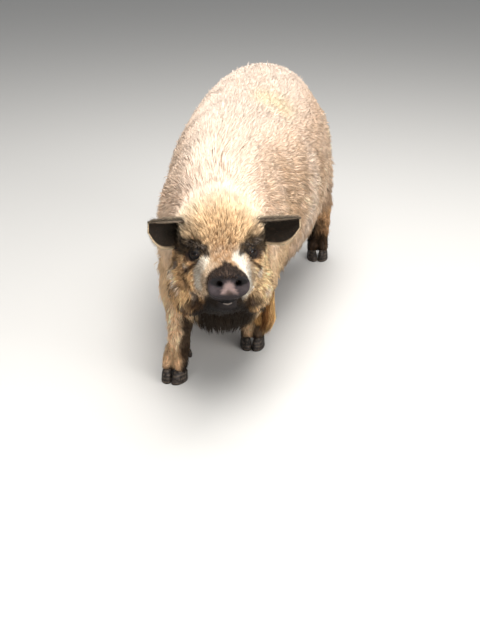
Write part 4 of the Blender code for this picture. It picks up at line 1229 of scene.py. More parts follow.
    def colours(self, places: Array, normals: Array, markings: Markings) -> Array:
        """The bare skin: the coat's colours, pinker, with a two-tone snout disc, dark lids and nostrils."""
        across, into, up = HEAD.on_disc(places).T
        wide, fine = np.abs(across), waves(places, 0.006, 21)
        on_disc = smooth(into, 0.020, 0.012) * smooth(wide, 0.060, 0.053) * smooth(np.abs(up), 0.047, 0.042)
        lobes = smooth(np.hypot(wide - 0.036, up + 0.006) + 0.001 * fine, 0.013, 0.006)
        half = 0.005 + 0.48 * (0.012 - up)
        wedge = smooth(wide - half - 0.0012 * fine, 0.003, -0.003) * smooth(up, 0.018, 0.008)
        wedge = wedge * smooth(up + 0.0015 * fine, -0.027, -0.016)
        notch = smooth(np.hypot(across, (up + 0.024) * 0.8) + 0.001 * fine, 0.013, 0.007)
        found = markings.lay(
            markings.coat(places, normals) * self.pinkness,
            (markings.disc, on_disc),
            (markings.disc_lobe, 0.65 * on_disc * lobes),
            (markings.disc_pink, 0.92 * on_disc * wedge),
            (markings.disc_notch, 0.80 * on_disc * notch),
            (markings.disc_low, 0.92 * on_disc * smooth(up + 0.002 * fine, -0.018, -0.028)),
            (markings.disc_top, 0.90 * on_disc * smooth(up + 0.002 * fine, 0.012, 0.022)),
        )
        for side in SIDES.values():
            beside, above = across - side * HEAD.nostril_side, up - HEAD.nostril_up
            comma = np.hypot((beside - side * 0.006) / 1.5, above - 0.006)
            hole = np.minimum(np.hypot(beside, above), comma)
            found = markings.lay(
                found,
                (markings.nostril, on_disc * smooth(hole, 0.0125, 0.0085)),
                (markings.lid, 0.99 * smooth(HEAD.from_eye(places, side), 0.028, 0.020)),
            )
        gap = markings.stroke(places, 1, ((-0.016, -0.094, 0.3645), (0.020, -0.092, 0.3645), 0.0030, 0.002))
        lips = markings.stroke(
            places, 1,
            ((-0.007, -0.094, 0.3590), (0.003, -0.094, 0.3566), 0.0007, 0.0018),
            ((0.003, -0.094, 0.3566), (0.012, -0.092, 0.3590), 0.0007, 0.0018),
        )
        return markings.lay(found, (markings.mouth, 0.9 * gap), (markings.lip, 0.85 * lips))

    def build(self, markings: Markings) -> bpy.types.Object:
        """Builds the skin in the frame that the flesh was drawn in, so that the coat can grow on it."""
        skin = self.flesh()
        _, back, z = HEAD.local(places_of(skin.data))
        self.refine(skin, (back < 0.070) & (z > 0.275))
        places = places_of(skin.data)
        near_eye = np.min([HEAD.from_eye(places, sign) for sign in SIDES.values()], axis=0) < 0.032
        self.refine(skin, near_eye | (HEAD.local(places)[1] < -0.070))
        self.features(skin)
        self.soften(skin)
        skin.data.shade_smooth()
        paint(skin.data, "tint", self.colours(places_of(skin.data), normals_of(skin.data), markings))
        return skin


class Zone(Enum):
    """A part of the body that the coat is grown on by itself."""

    TRUNK = "trunk"
    HEAD = "head"
    MUZZLE = "muzzle"
    LEGS = "legs"
    FEET = "feet"
    TAIL = "tail"


def lie(points: Array, normals: Array) -> Array:
    """The way the coat lies: back from the snout, along the trunk, and down the sides and legs.

    Args:
        points: Places on the skin.
        normals: The skin's normals there.

    Returns:
        Unit directions along the skin.
    """
    side, back, z = HEAD.local(points)
    level = np.clip(normals[:, 2], 0.0, 1.0)
    steep = 0.10 + 0.48 * (1.0 - level) ** 1.5
    flow = np.stack([np.zeros(len(points)), 1.0 - 0.6 * steep, -steep], axis=1)
    down = np.broadcast_to(np.array((0.0, 0.22, -1.0)), flow.shape)
    bib = smooth(points[:, 1], -0.33, -0.39) * smooth(normals[:, 2], 0.45, 0.15)
    flow = mixed(flow, down, np.maximum(bib, smooth(z, 0.260, 0.200)))
    spin = np.array(HEAD.rotation())
    upper = np.stack([side * 7.0, np.ones(len(side)), np.full(len(side), 0.8)], axis=1) @ spin.T
    lower = np.stack([side * 3.0, np.full(len(side), 0.8), np.full(len(side), -1.1)], axis=1) @ spin.T
    ridge = smooth(np.abs(side), 0.062, 0.040) * smooth(back, -0.020, -0.045) * smooth(z, 0.390, 0.410)
    face = mixed(lower, upper, np.maximum(smooth(z, HEAD.eye_z - 0.022, HEAD.eye_z + 0.004), ridge))
    flow = mixed(flow, face, smooth(back, 0.150, 0.100) * smooth(z, 0.225, 0.260))
    tail = smooth(points[:, 1], 0.570, 0.590) * smooth(np.abs(points[:, 0]), 0.060, 0.045)
    flow = mixed(flow, down, tail)
    return unit(flow - normals * (flow * normals).sum(axis=1, keepdims=True))


@dataclass
class Hairs:
    """A batch of strands: where each is rooted, and how it grows."""

    roots: Array
    normals: Array
    flows: Array
    lengths: Array
    widths: Array
    # Radians that a strand leaves the skin at, and the share of its weight that makes it hang
    lifts: Array
    hangs: Array
    colours: Array
    # How much the strands differ in tone here, and how deep the painted shade at their roots is
    contrasts: Array


# Short coats: least length, what is added to it, the heights that it rises between, width, lift and hang
SHORT_COATS = {
    Zone.LEGS: (0.025, 0.016, 0.16, 0.27, 0.0016, 0.20, 0.0),
    Zone.FEET: (0.013, 0.010, 0.05, 0.11, 0.0012, 0.24, 0.0),
    Zone.TAIL: (0.030, 0.040, 0.46, 0.41, 0.0016, 0.16, 0.6),
}
# Strands, the size and pull of each generation of clumps from the smallest, straight spans and pieces
GROWTH = {
    Zone.TRUNK: (68000, [(9, 0.62), (60, 0.36)], 2, 4),
    Zone.HEAD: (31000, [(7, 0.50), (36, 0.25)], 2, 2),
    Zone.MUZZLE: (30000, [(7, 0.45)], 1, 1),
    Zone.LEGS: (17000, [(8, 0.60), (40, 0.30)], 2, 1),
    Zone.FEET: (20000, [(7, 0.50)], 1, 1),
    Zone.TAIL: (2400, [(8, 0.55)], 2, 1),
}


@dataclass
class Coat:
    """The guard hair over the skin, as closed tapered strands that lie in clumps."""

    skin: bpy.types.Object
    markings: Markings
    seed: int = 20
    thickness: float = 0.32
    # The longest hair of the muzzle, which is grown apart from the rest of the head
    muzzle_length: float = 0.0145
    brow_count: int = 110
    rng: np.random.Generator = field(init=False)
    tree: BVHTree = field(init=False)
    corners: Array = field(init=False)
    places: Array = field(init=False)
    out: Array = field(init=False)
    areas: Array = field(init=False)
    middles: Array = field(init=False)
    facing: Array = field(init=False)

    def __post_init__(self) -> None:
        """Reads the skin's triangles, from which the roots are drawn."""
        self.rng = np.random.default_rng(self.seed)
        mesh = self.skin.data
        mesh.calc_loop_triangles()
        corners = np.empty(len(mesh.loop_triangles) * 3, np.int32)
        mesh.loop_triangles.foreach_get("vertices", corners)
        self.corners = corners.reshape(-1, 3)
        self.places, self.out = places_of(mesh), normals_of(mesh)
        spots = self.places[self.corners]
        across = np.cross(spots[:, 1] - spots[:, 0], spots[:, 2] - spots[:, 0])
        self.areas = 0.5 * np.linalg.norm(across, axis=1)
        self.middles = spots.mean(axis=1)
        self.facing = unit(self.out[self.corners].mean(axis=1))
        self.tree = BVHTree.FromObject(self.skin, bpy.context.evaluated_depsgraph_get())

    def head_lengths(self, points: Array) -> Array:
        """The length of the coat on the head: short round the snout and eyes, long on the poll and jowls."""
        side, back, z = HEAD.local(points)
        wide = np.abs(side)
        found = 0.0075 + 0.0085 * smooth(back, -0.080, -0.030) + 0.010 * smooth(back, -0.030, 0.060)
        found += 0.0055 * smooth(wide, 0.045, 0.030) * smooth(back, -0.055, -0.075) * smooth(z, 0.395, 0.410)
        found += 0.016 * smooth(back, 0.020, 0.110) * smooth(z, 0.470, 0.530)
        found += 0.010 * smooth(z, 0.480, 0.500) * smooth(back, -0.020, 0.020)
        jowl = 0.010 * smooth(wide, 0.060, 0.095) * smooth(z, 0.420, 0.360)
        found += jowl + 0.008 * smooth(z, 0.350, 0.300)
        for sign in SIDES.values():
            found = found * (0.30 + 0.70 * smooth(HEAD.from_eye(points, sign), 0.019, 0.040))
        return found

    def zones(self, points: Array) -> Array:
        """The zone of each place, as the place of its member in Zone."""
        x, y, z = points.T
        on_head = (HEAD.local(points)[1] < 0.125) & (z > 0.235)
        legs = leg_share(points) > 0.5
        found = np.zeros(len(points), int)
        for zone, inside in (
            (Zone.HEAD, on_head),
            (Zone.MUZZLE, on_head & (self.head_lengths(points) < self.muzzle_length)),
            (Zone.LEGS, legs),
            (Zone.FEET, legs & (z < 0.110)),
            (Zone.TAIL, (y > 0.582) & (np.abs(x) < 0.05)),
        ):
            found[inside] = list(Zone).index(zone)
        return found

    def density(self, points: Array, normals: Array) -> Array:
        """Strands to the square metre at each place, before they are scaled to a count."""
        across, into, up = HEAD.on_disc(points).T
        found = np.ones(len(points))
        found[(into < 0.014) & (np.abs(across) < 0.056) & (up > -0.040) & (up < 0.020)] = 0.0
        for sign in SIDES.values():
            away = HEAD.from_eye(points, sign)
            found *= 0.50 + 0.50 * smooth(away, 0.016, 0.022)
            found *= away > HEAD.eye_radius + 0.0014
        found *= 1.0 - 0.55 * smooth(normals[:, 2], -0.55, -0.85) * (points[:, 2] > 0.10)
        mouth = ((-0.014, -0.094, 0.361), (0.020, -0.092, 0.361), 0.009, 0.003)
        return found * (1.0 - self.markings.stroke(points, 1, mouth))

    def scatter(self, zone: Zone, count: int) -> tuple[Array, Array]:
        """Draws roots over one zone of the skin.

        Args:
            zone: The part of the body.
            count: How many roots.

        Returns:
            The roots and the skin's normals there.
        """
        picked = np.nonzero(self.zones(self.middles) == list(Zone).index(zone))[0]
        weight = self.areas[picked] * self.density(self.middles[picked], self.facing[picked])
        chosen = picked[self.rng.choice(len(picked), count, p=weight / weight.sum())]
        first, second = np.sqrt(self.rng.random(count)), self.rng.random(count)
        shares = np.stack([1 - first, first * (1 - second), first * second], axis=1)[:, :, None]
        return (
            (self.places[self.corners[chosen]] * shares).sum(axis=1),
            unit((self.out[self.corners[chosen]] * shares).sum(axis=1)),
        )

    def grown(self, zone: Zone, count: int) -> Hairs:
        """The strands of one zone, with their growth read from where they are on the body."""
        roots, normals = self.scatter(zone, count)
        side, back, z = HEAD.local(roots)
        flows = lie(roots, normals)
        noise = self.rng.normal(size=(3, count))
        swirl = 0.22 * waves(roots, 0.060, 31) + 0.16 * waves(roots, 0.022, 32) + 0.14 * noise[0]
        flows = unit(flows + np.cross(normals, flows) * swirl[:, None])
        lengths, widths, lifts, hangs = (np.empty(count) for _ in range(4))
        match zone:
            case Zone.TRUNK:
                crest = smooth(np.abs(roots[:, 0]), 0.090, 0.030) * smooth(z, 0.52, 0.60)
                crest = crest * smooth(roots[:, 1], 0.10, -0.10)
                flank = smooth(normals[:, 2], 0.60, 0.10)
                lengths[:] = 0.046 + 0.012 * crest + 0.010 * flank + 0.008 * smooth(z, 0.36, 0.24)
                lengths *= 1.0 - 0.25 * smooth(back, 0.200, 0.120)
                widths[:] = 0.0019
                lifts[:] = 0.10 + 0.12 * crest + 0.09 * flank
                hangs[:] = 0.55 * smooth(normals[:, 2], 0.0, -0.45)
            case Zone.HEAD | Zone.MUZZLE:
                fore = smooth(z, 0.455, 0.490) * smooth(back, 0.090, 0.030)
                lengths[:] = self.head_lengths(roots)
                widths[:] = 0.0008 + 0.022 * lengths
                lifts[:] = 0.24 + 0.36 * fore + 0.22 * smooth(back, -0.055, -0.080) * smooth(z, 0.395, 0.410)
                hangs[:] = 0.30 * smooth(z, 0.36, 0.29) * smooth(np.abs(side), 0.05, 0.08)
            case _:
                least, more, low, high, widths[:], lifts[:], hangs[:] = SHORT_COATS[zone]
                lengths[:] = least + more * smooth(z, low, high)
        lengths *= np.exp(0.16 * noise[1])
        widths *= np.exp(0.15 * noise[2])
        lifts *= np.exp(0.42 * self.rng.normal(size=count))
        lifts = np.clip(lifts, 0.02, 1.3)
        colours, contrasts = (look(roots, normals) for look in (self.markings.coat, self.markings.contrast))
        return Hairs(roots, normals, flows, lengths, widths, lifts, hangs, colours, contrasts)

    def on_skin(self, points: Array) -> tuple[Array, Array]:
        """The nearest places on the skin and the normals there."""
        places, normals = np.empty_like(points), np.empty_like(points)
        for i, point in enumerate(points):
            places[i], normals[i] = self.tree.find_nearest(point)[:2]
        return places, normals

    def paths(self, hairs: Hairs) -> Array:
        """The middle line of each strand, from its root under the skin over its middle to its tip.

        Args:
            hairs: The strands.

        Returns:
            An array of strands by three points by x, y and z.
        """
        reach = (hairs.lengths * np.cos(hairs.lifts))[:, None]
        rise = (hairs.lengths * np.sin(hairs.lifts))[:, None]
        middle, out_middle = self.on_skin(hairs.roots + hairs.flows * reach * 0.5)
        ahead = unit(0.5 * lie(middle, unit(out_middle)) + 0.5 * hairs.flows)
        tip, out_tip = self.on_skin(middle + ahead * reach * 0.5)
        middle = middle + out_middle * rise * 0.62
        tip = tip + out_tip * rise
        drop = np.array((0.0, 0.0, -1.0)) * hairs.lengths[:, None]
        hang = hairs.hangs[:, None]
        middle = middle * (1 - hang) + (hairs.roots + 0.5 * drop * 0.92 + hairs.normals * 0.004) * hang
        tip = tip * (1 - hang) + (hairs.roots + drop * 0.95 + hairs.normals * 0.006) * hang
        return np.stack([hairs.roots - hairs.normals * 0.0015, middle, tip], axis=1)

    def clumped(self, paths: Array, size: int, pull: float, share: Array) -> tuple[Array, Array]:
        """Pulls strands towards the nearest of a few guides, so that they lie in clumps.

        Args:
            paths: The strands' middle lines.
            size: How many strands one clump has.
            pull: How far the tips are pulled, as a share of the way.
            share: How much of that pull each strand gets.

        Returns:
            The new middle lines, and the number of each strand's guide.
        """
        chosen = self.rng.choice(len(paths), max(1, len(paths) // size), replace=False)
        near = KDTree(len(chosen))
        for k, i in enumerate(chosen):
            near.insert(paths[i, 0], k)
        near.balance()
        guide = np.array([near.find(root)[1] for root in paths[:, 0]])
        lines = paths[chosen[guide]]
        shares = np.array((0.0, 0.50 * pull, pull))[None, :, None]
        offset = paths - lines
        spread = np.linalg.norm(offset[:, 0], axis=1)
        fade = (share * smooth(spread, 0.050, 0.025))[:, None, None]
        return paths - offset * shares * fade, guide

    def unwrap(self, zone: Zone, points: Array) -> Array:
        """Places on a flat unwrap of the skin's own shape, from 0.01 to 0.99.

        Args:
            zone: The part of the body, which is rolled out round its own middle line.
            points: Places on it.

        Returns:
            Rows of u and v.
        """
        x, y, z = points.T
        side, back, _ = HEAD.local(points)
        match zone:
            case Zone.TRUNK:
                around, along = np.arctan2(x, z - 0.41), (y + 0.52) / 1.16
            case Zone.HEAD | Zone.MUZZLE:
                around, along = np.arctan2(side, z - 0.41), (back + 0.14) / 0.30
            case Zone.TAIL:
                around, along = np.arctan2(x, y - 0.60), (z - 0.36) / 0.26
            case Zone.LEGS | Zone.FEET:
                nearest = np.argmin([leg.nearness(points) for leg in LEGS.values()], axis=0)
                middles = np.array([leg.place[:2] for leg in LEGS.values()])[nearest]
                around, along = np.arctan2(x - middles[:, 0], y - middles[:, 1]), z / 0.34
        u = 0.5 + 0.5 * around / math.pi
        if zone in (Zone.LEGS, Zone.FEET):
            # The four legs lie side by side, with a gap between them
            u = (nearest + 0.5 + 0.46 * around / math.pi) / len(LEGS)
        return np.clip(np.stack([u, along], axis=1), 0.0, 1.0) * 0.98 + 0.01

    def woven(
        self, name: str, paths: Array, widths: Array, tones: Array, maps: Array, spans: int = 2
    ) -> bpy.types.Object:
        """Makes one mesh of closed strands with a flat three-sided section.

        Args:
            name: The object's name.
            paths: The middle lines.
            widths: Each strand's width.
            tones: Linear colours, for each strand at its root, middle and tip.
            maps: Each strand's place on the unwrap.
            spans: 2 for a strand that bends in its middle, 1 for a straight one.

        Returns:
            The new object.
        """
        if spans == 1:
            paths, tones = paths[:, [0, 2]], tones[:, [0, 2]]
        ahead = unit(paths[:, -1] - paths[:, 0])
        upright = unit(self.on_skin(paths[:, 0])[1])
        out = unit(np.cross(np.cross(ahead, upright), ahead))
        across = unit(np.cross(ahead, out))
        points, shades, flat = [], [], []
        for level in range(spans):
            half = widths * (0.5 if level == 0 else 0.42)
            for a, b in ((-1.0, -0.3), (1.0, -0.3), (0.0, 1.0)):
                rise = out * (b * half * self.thickness * 2)[:, None]
                points.append(paths[:, level] + across * (a * half)[:, None] + rise)
                shades.append(tones[:, level])
                flat.append(maps + np.array((0.0013 * a, -0.0014 + 0.0014 * level)))
        points.append(paths[:, -1])
        shades.append(tones[:, -1])
        flat.append(maps + np.array((0.0, 0.0015)))
        per = 3 * spans + 1
        faces = [(2, 1, 0)]
        for level in range(spans - 1):
            low, high = 3 * level, 3 * level + 3
            for k in range(3):
                after = (k + 1) % 3
                faces += [(low + k, low + after, high + after), (low + k, high + after, high + k)]
        last = 3 * (spans - 1)
        faces += [(last + k, last + (k + 1) % 3, per - 1) for k in range(3)]
        co = np.stack(points, axis=1).reshape(-1, 3)
        index = (np.arange(len(paths))[:, None, None] * per + np.array(faces)[None]).reshape(-1)
        mesh = bpy.data.meshes.new(name)
        mesh.vertices.add(len(co))
        mesh.vertices.foreach_set("co", co.astype(np.float32).ravel())
        mesh.loops.add(len(index))
        mesh.loops.foreach_set("vertex_index", index.astype(np.int32))
        mesh.polygons.add(len(index) // 3)
        mesh.polygons.foreach_set("loop_start", np.arange(0, len(index), 3, dtype=np.int32))
        mesh.update(calc_edges=True)
        mesh.shade_smooth()
        uv = mesh.uv_layers.new(name="OFBake")
        spots = np.stack(flat, axis=1).reshape(-1, 2)[index]
        uv.data.foreach_set("uv", spots.astype(np.float32).ravel())
        paint(mesh, "tint", np.stack(shades, axis=1).reshape(-1, 3))
        made = bpy.data.objects.new(name, mesh)
        bpy.context.scene.collection.objects.link(made)
        return made

    def toned(self, hairs: Hairs, guides: list[Array]) -> Array:
        """Colours for root, middle and tip: darker at the root as painted shade, and differing by strand and
        by clump.
        """
        count = len(hairs.roots)
        level = 0.14 * self.rng.normal(size=count)
        for guide in guides:
            level += (0.12 * self.rng.normal(size=guide.max() + 1))[guide]
        main = hairs.colours * np.exp(level * hairs.contrasts)[:, None]
        # Painted shade at the roots, deeper where the strands differ more in tone.
        depth = np.clip(0.25 + 0.75 * hairs.contrasts, 0.0, 1.0)[:, None]
        root = main * (1.0 - depth * np.array((0.52, 0.60, 0.68)))
        tip = main * np.array((1.08, 1.05, 1.00))
        return np.stack([root, main, tip], axis=1)

    def piece(self, zone: Zone, count: int, clumps: list[tuple[int, float]], spans: int, parts: int) -> list:
        """Grows one zone, in so many objects that none is too large.

        Args:
            zone: The part of the body.
            count: How many strands.
            clumps: The size and pull of each generation of clumps, smallest first.
            spans: How many straight spans each strand has.
            parts: How many objects the strands are shared among.

        Returns:
            The new objects.
        """
        hairs = self.grown(zone, count)
        paths = self.paths(hairs)
        guides = []
        for size, pull in clumps:
            paths, guide = self.clumped(paths, size, pull, np.clip(0.35 + 0.65 * hairs.contrasts, 0.0, 1.0))
            guides.append(guide)
        tones = self.toned(hairs, guides)
        maps = self.unwrap(zone, hairs.roots)
        order = np.argsort(hairs.roots[:, 1], kind="stable")
        made = []
        for k, rows in enumerate(np.array_split(order, parts)):
            name = f"coat_{zone.value}" + (f"_{k + 1}" if parts > 1 else "")
            made.append(self.woven(name, paths[rows], hairs.widths[rows], tones[rows], maps[rows], spans))
        return made

    def elbow(self) -> bpy.types.Object:
        """The long golden clump behind the left elbow: three lobes over a hollow whose near-black strands are
        painted shade.
        """
        looks = self.markings
        codes = (looks.elbow_gold, looks.elbow_brown, looks.elbow_tan, looks.elbow_hollow_shade)
        # Count, root, middle, tip, half width, half depth
        lobes = [
            (700, (0.134, -0.236, 0.172), (0.139, -0.250, 0.116), (0.119, -0.252, 0.062), 0.009, 0.012),
            (450, (0.128, -0.240, 0.172), (0.130, -0.256, 0.112), (0.113, -0.256, 0.074), 0.010, 0.009),
            (600, (0.114, -0.244, 0.166), (0.095, -0.268, 0.132), (0.109, -0.268, 0.098), 0.008, 0.009),
            (450, (0.122, -0.222, 0.175), (0.114, -0.226, 0.120), (0.111, -0.228, 0.066), 0.013, 0.007),
        ]
        rows, tones = [], []
        for (count, root, middle, tip, wide, deep), code in zip(lobes, codes):
            angle, spread = self.rng.uniform(0, 2 * math.pi, count), np.sqrt(self.rng.random(count))
            circle = np.stack([np.cos(angle), np.sin(angle), np.zeros(count)], axis=1)
            own = np.array((wide, deep, 0.0)) * spread[:, None] * circle
            share = self.rng.uniform(0.72, 1.0, count)[:, None]
            loose = 0.0034 * self.rng.normal(size=(count, 3))
            first = np.array(root) + own * 1.3 + (0.0, 0.0, 1.0) * loose * 6
            second = first + (np.array(middle) + own - first) * (0.6 + 0.4 * share) + loose
            third = second + (np.array(tip) + own * 0.7 - second) * share + loose
            rows.append(np.stack([first, second, third], axis=1))
            # Strands towards the clump's outer side are painted lighter, as painted light, on top of their
            # random tone.
            lit = np.exp(0.42 * self.rng.normal(size=count) + 14.0 * own[:, 0] - 0.1)[:, None]
            base = looks.plain(code, own) * lit
            # The roots are painted darker, as painted shade.
            tones.append(np.stack([base * 0.7, base, base * 1.15], axis=1))
        paths = np.concatenate(rows)
        maps = self.unwrap(Zone.TRUNK, self.on_skin(paths[:, 0])[0])
        return self.woven("coat_elbow", paths, np.full(len(paths), 0.0012), np.concatenate(tones), maps)

    def brows(self) -> bpy.types.Object:
        """The stiff pale bristles over each eye, which hang forward as lashes."""
        starts, ends = [], []
        for sign in SIDES.values():
            for _ in range(self.brow_count):
                run, lift = self.rng.random(), self.rng.random()
                across = sign * (0.046 + 0.044 * run)
                starts.append(HEAD.point(across, -0.024 + 0.026 * run, 0.478 + 0.014 * lift))
                reach = 0.013 * self.rng.uniform(0.6, 1.3)
                fan = sign * (run - 0.35) * 0.9 + 0.25 * self.rng.normal()
                rise = 0.15 + 0.3 * self.rng.normal()
                ends.append(HEAD.rotation() @ Vector((fan * reach, -reach, reach * rise)))
        roots, normals = self.on_skin(np.array(starts))
        tips = roots + np.array(ends) + normals * 0.003
        middle = (roots + tips) / 2 + normals * 0.0025
        paths = np.stack([roots - normals * 0.001, middle, tips], axis=1)
        lit = np.exp(0.45 * self.rng.normal(size=len(roots)))[:, None]
        base = self.markings.plain(self.markings.brow_grey, roots) * lit
        # The bristles' roots are painted darker, as painted shade.
        tones, maps = np.stack([base * 0.3, base, base * 1.5], axis=1), self.unwrap(Zone.HEAD, roots)
        return self.woven("coat_brows", paths, np.full(len(roots), 0.0009), tones, maps)

    def build(self, material: bpy.types.Material) -> None:
        """Grows the whole coat and dresses each piece of it."""
        for made in (self.elbow(), self.brows()):
            dress(made, material)
        for zone, plan in GROWTH.items():
            for made in self.piece(zone, *plan):
                dress(made, material)


@dataclass
class Ear:
    """One ear: a cupped leaf with a rolled upper rim, dark inside and pale and hairy outside."""

    side: int
    thickness: float = 0.0024
    roll: float = 0.0020
    along: int = 52
    across: int = 30
    upper: tuple = (
        (0.046, 0.070, 0.500), (0.072, 0.060, 0.508), (0.104, 0.046, 0.515),
        (0.136, 0.034, 0.521), (0.166, 0.024, 0.527), (0.188, 0.020, 0.530),
    )
    lower: tuple = (
        (0.082, 0.098, 0.440), (0.104, 0.086, 0.444), (0.130, 0.066, 0.445),
        (0.152, 0.048, 0.452), (0.172, 0.036, 0.470), (0.190, 0.026, 0.504),
    )
    cup: tuple = (0.020, 0.034, 0.040, 0.038, 0.026, 0.006)
    hair_count: int = 7600

    @property
    def name(self) -> str:
        """The solid ear that this one stands for."""
        return "ear_left" if self.side > 0 else "ear_right"

    @property
    def reach(self) -> float:
        """How far out the ear stands, as a share of its drawn width."""
        return 1.03 if self.side > 0 else 0.955

    def spot(self, run: float, share: float) -> Vector:
        """A place on the ear.

        Args:
            run: From 0 inside the head to 1 at the tip.
            share: From 0 at the upper margin to 1 at the lower one, and below 0 on the rolled rim.

        Returns:
            The place.
        """
        rows = [(*a, *b, c) for a, b, c in zip(self.upper, self.lower, self.cup)]
        spot = run * (len(rows) - 1)
        span = min(int(spot), len(rows) - 2)
        row = curved(rows, span, spot - span)
        inner = max(share, 0.0)
        point = Vector(row[:3]).lerp(Vector(row[3:6]), inner)
        point += Vector((0.0, 0.86, 0.42)) * (row[6] * math.sin(math.pi * inner**0.8))
        ridges = 0.0016 * math.sin(9.0 * math.pi * inner + 3.0 * run) * math.sin(math.pi * inner)
        point += Vector((0.0, 0.9, 0.4)) * (ridges * (1.0 - 0.5 * run))
        if share < 0.0:
            angle = -share * 3.4
            radius = self.roll * math.sin(math.pi * min(1.0, 0.18 + run * 0.9)) ** 0.5
            rise = radius * (1 - math.cos(angle))
            point += Vector((0.0, -1.0, 0.0)) * (radius * math.sin(angle)) + Vector((0, 0, rise))
            point += Vector((0.0, 0.0, -radius * 0.3))
        tilt = 0.0065 if self.side < 0 else 0.001
        lift = tilt * (1.0 - inner) * math.sin(math.pi * min(run + 0.15, 0.85))
        return HEAD.point(self.side * point.x * self.reach, point.y, point.z + lift)

    def leaf(self) -> bpy.types.Object:
        """The bare ear, with how far each vertex is along and across it stored as run and share."""
        bm = bmesh.new()
        bmesh.ops.create_grid(bm, x_segments=self.along, y_segments=self.across, size=1.0)
        runs, shares = (bm.verts.layers.float.new(key) for key in ("run", "share"))
        for vert in bm.verts:
            vert[runs] = (vert.co.x + 1.0) / 2
            vert[shares] = (vert.co.y + 0.25) / (0.75 if vert.co.y < -0.25 else 1.25)
            vert.co = self.spot(vert[runs], vert[shares])
        ear = new_piece(f"{self.name}_leaf", bm)
        thick = ear.modifiers.new("thickness", "SOLIDIFY")
        thick.thickness = self.thickness
        thick.offset = 0.0
        baked(ear)
        ear.data.shade_smooth()
        return ear

    def build(
        self, skin_look: bpy.types.Material, hair_look: bpy.types.Material, markings: Markings, coat: Coat
    ) -> None:
        """Builds, colours and dresses the ear and its hair."""
        ear = self.leaf()
        places, normals = places_of(ear.data), normals_of(ear.data)
        run, share = (self.layer(ear.data, key) for key in ("run", "share"))
        ahead = np.array(HEAD.rotation() @ Vector((0.0, -0.9, -0.3)))
        inside = smooth(normals @ ahead, -0.25, 0.35)
        margin = np.minimum(np.minimum(np.clip(share, 0, 1), 1 - share), (1 - run) * 2.2)
        veins = inside * smooth(waves(places * (1.0, 1.0, 2.5), 0.012, 41), 0.4, 1.5)
        veins = veins * smooth(share, 0.35, 0.75)
        paint(ear.data, "tint", markings.lay(
            markings.plain(markings.ear_outer, places),
            (markings.ear_inner, 0.98 * inside * smooth(margin, 0.004, 0.030)),
            (markings.ear_vein, 0.6 * veins * smooth(run, 0.75, 0.35)),
            (markings.ear_rim, 0.90 * smooth(share, 0.16, 0.04)),
            (markings.ear_inner, 0.8 * inside * np.exp(-(((share - 0.035) / 0.02) ** 2))),
        ))
        hair = self.hairs(places, normals, run, share, inside, markings, coat)
        dress(hair, hair_look)
        dress(ear, skin_look, (self.name,))

    def layer(self, mesh: bpy.types.Mesh, key: str) -> Array:
        """Reads one number for each vertex."""
        found = np.empty(len(mesh.vertices), np.float32)
        mesh.attributes[key].data.foreach_get("value", found)
        return found.astype(float)

    def hairs(
        self, places: Array, normals: Array, run: Array, share: Array, inside: Array,
        markings: Markings, coat: Coat,
    ) -> bpy.types.Object:
        """The ear's hair: short over its back, and a fringe along its rim.

        Args:
            places: The ear's vertices.
            normals: Their normals.
            run: How far each is along the ear.
            share: How far each is across the ear.
            inside: How much each faces forward.
            markings: The colours by place.
            coat: The coat, for its way of making strands.

        Returns:
            The hair's object.
        """
        rng = np.random.default_rng(50 + self.side)
        edge = np.minimum(np.minimum(np.abs(share), np.abs(1 - share)), (1 - run) * 1.5)
        root = smooth(run, 0.55, 0.20) * smooth(share, 0.45, 0.85)
        weight = (0.05 + 0.50 * root) * (inside > 0.5) + 0.9 * (inside <= 0.5)
        weight = (weight + 0.7 * smooth(edge, 0.05, 0.01)) * (run > 0.10)
        chosen = rng.choice(len(places), self.hair_count, p=weight / weight.sum())
        places, normals, run, share, inside, edge = (
            rows[chosen] for rows in (places, normals, run, share, inside, edge)
        )
        jitter = rng.normal(size=(len(chosen), 3)) * 0.0011
        roots = places + jitter - normals * (jitter * normals).sum(axis=1, keepdims=True)
        out = np.array(HEAD.rotation() @ Vector((self.side * 1.0, 0.10, 0.05)))
        rim = smooth(edge, 0.06, 0.01)
        away = np.where(share < 0.5, 1.0, -1.0)[:, None] * np.array((0.0, 0.0, 1.0))
        flow = unit(out + away * (0.55 * rim + 0.15)[:, None] + 0.25 * rng.normal(size=roots.shape))
        flow = unit(flow - normals * ((flow * normals).sum(axis=1) * (1 - rim))[:, None])
        behind = (1 - rim) * (inside < 0.5)
        length = (0.0080 - 0.0025 * rim + 0.0060 * behind) * np.exp(0.25 * rng.normal(size=len(roots)))
        length *= 1.0 - 0.80 * smooth(run, 0.80, 0.95)
        reach, rise = flow * length[:, None], ((0.18 + 0.10 * behind) * length)[:, None] * normals
        start, middle, tip = roots - normals * 0.0006, roots + reach * 0.5 + rise, roots + reach + rise * 0.8
        paths = np.stack([start, middle, tip], axis=1)
        base = markings.lay(
            markings.plain(markings.ear_hair, roots),
            (markings.ear_mottle, 0.6 * smooth(waves(roots, 0.012, 42), 0.0, 1.4) * behind),
            (markings.ear_rim, 0.85 * smooth(share, 0.20, 0.06)),
            (markings.ear_root, 0.9 * inside * (1 - rim)),
        )
        base = base * np.exp((0.16 + 0.16 * behind) * rng.normal(size=len(roots)))[:, None]
        # The roots are painted darker, as painted shade.
        tones = np.stack([base * 0.55, base, base * 1.06], axis=1)
        across = np.clip(0.25 + 0.5 * share * np.where(inside > 0.5, 0.4, 1), 0, 1)
        maps = np.stack([run, across], axis=1) * 0.98 + 0.01
        return coat.woven(f"hair_of_{self.name}", paths, np.full(len(roots), 0.0009), tones, maps, 1)


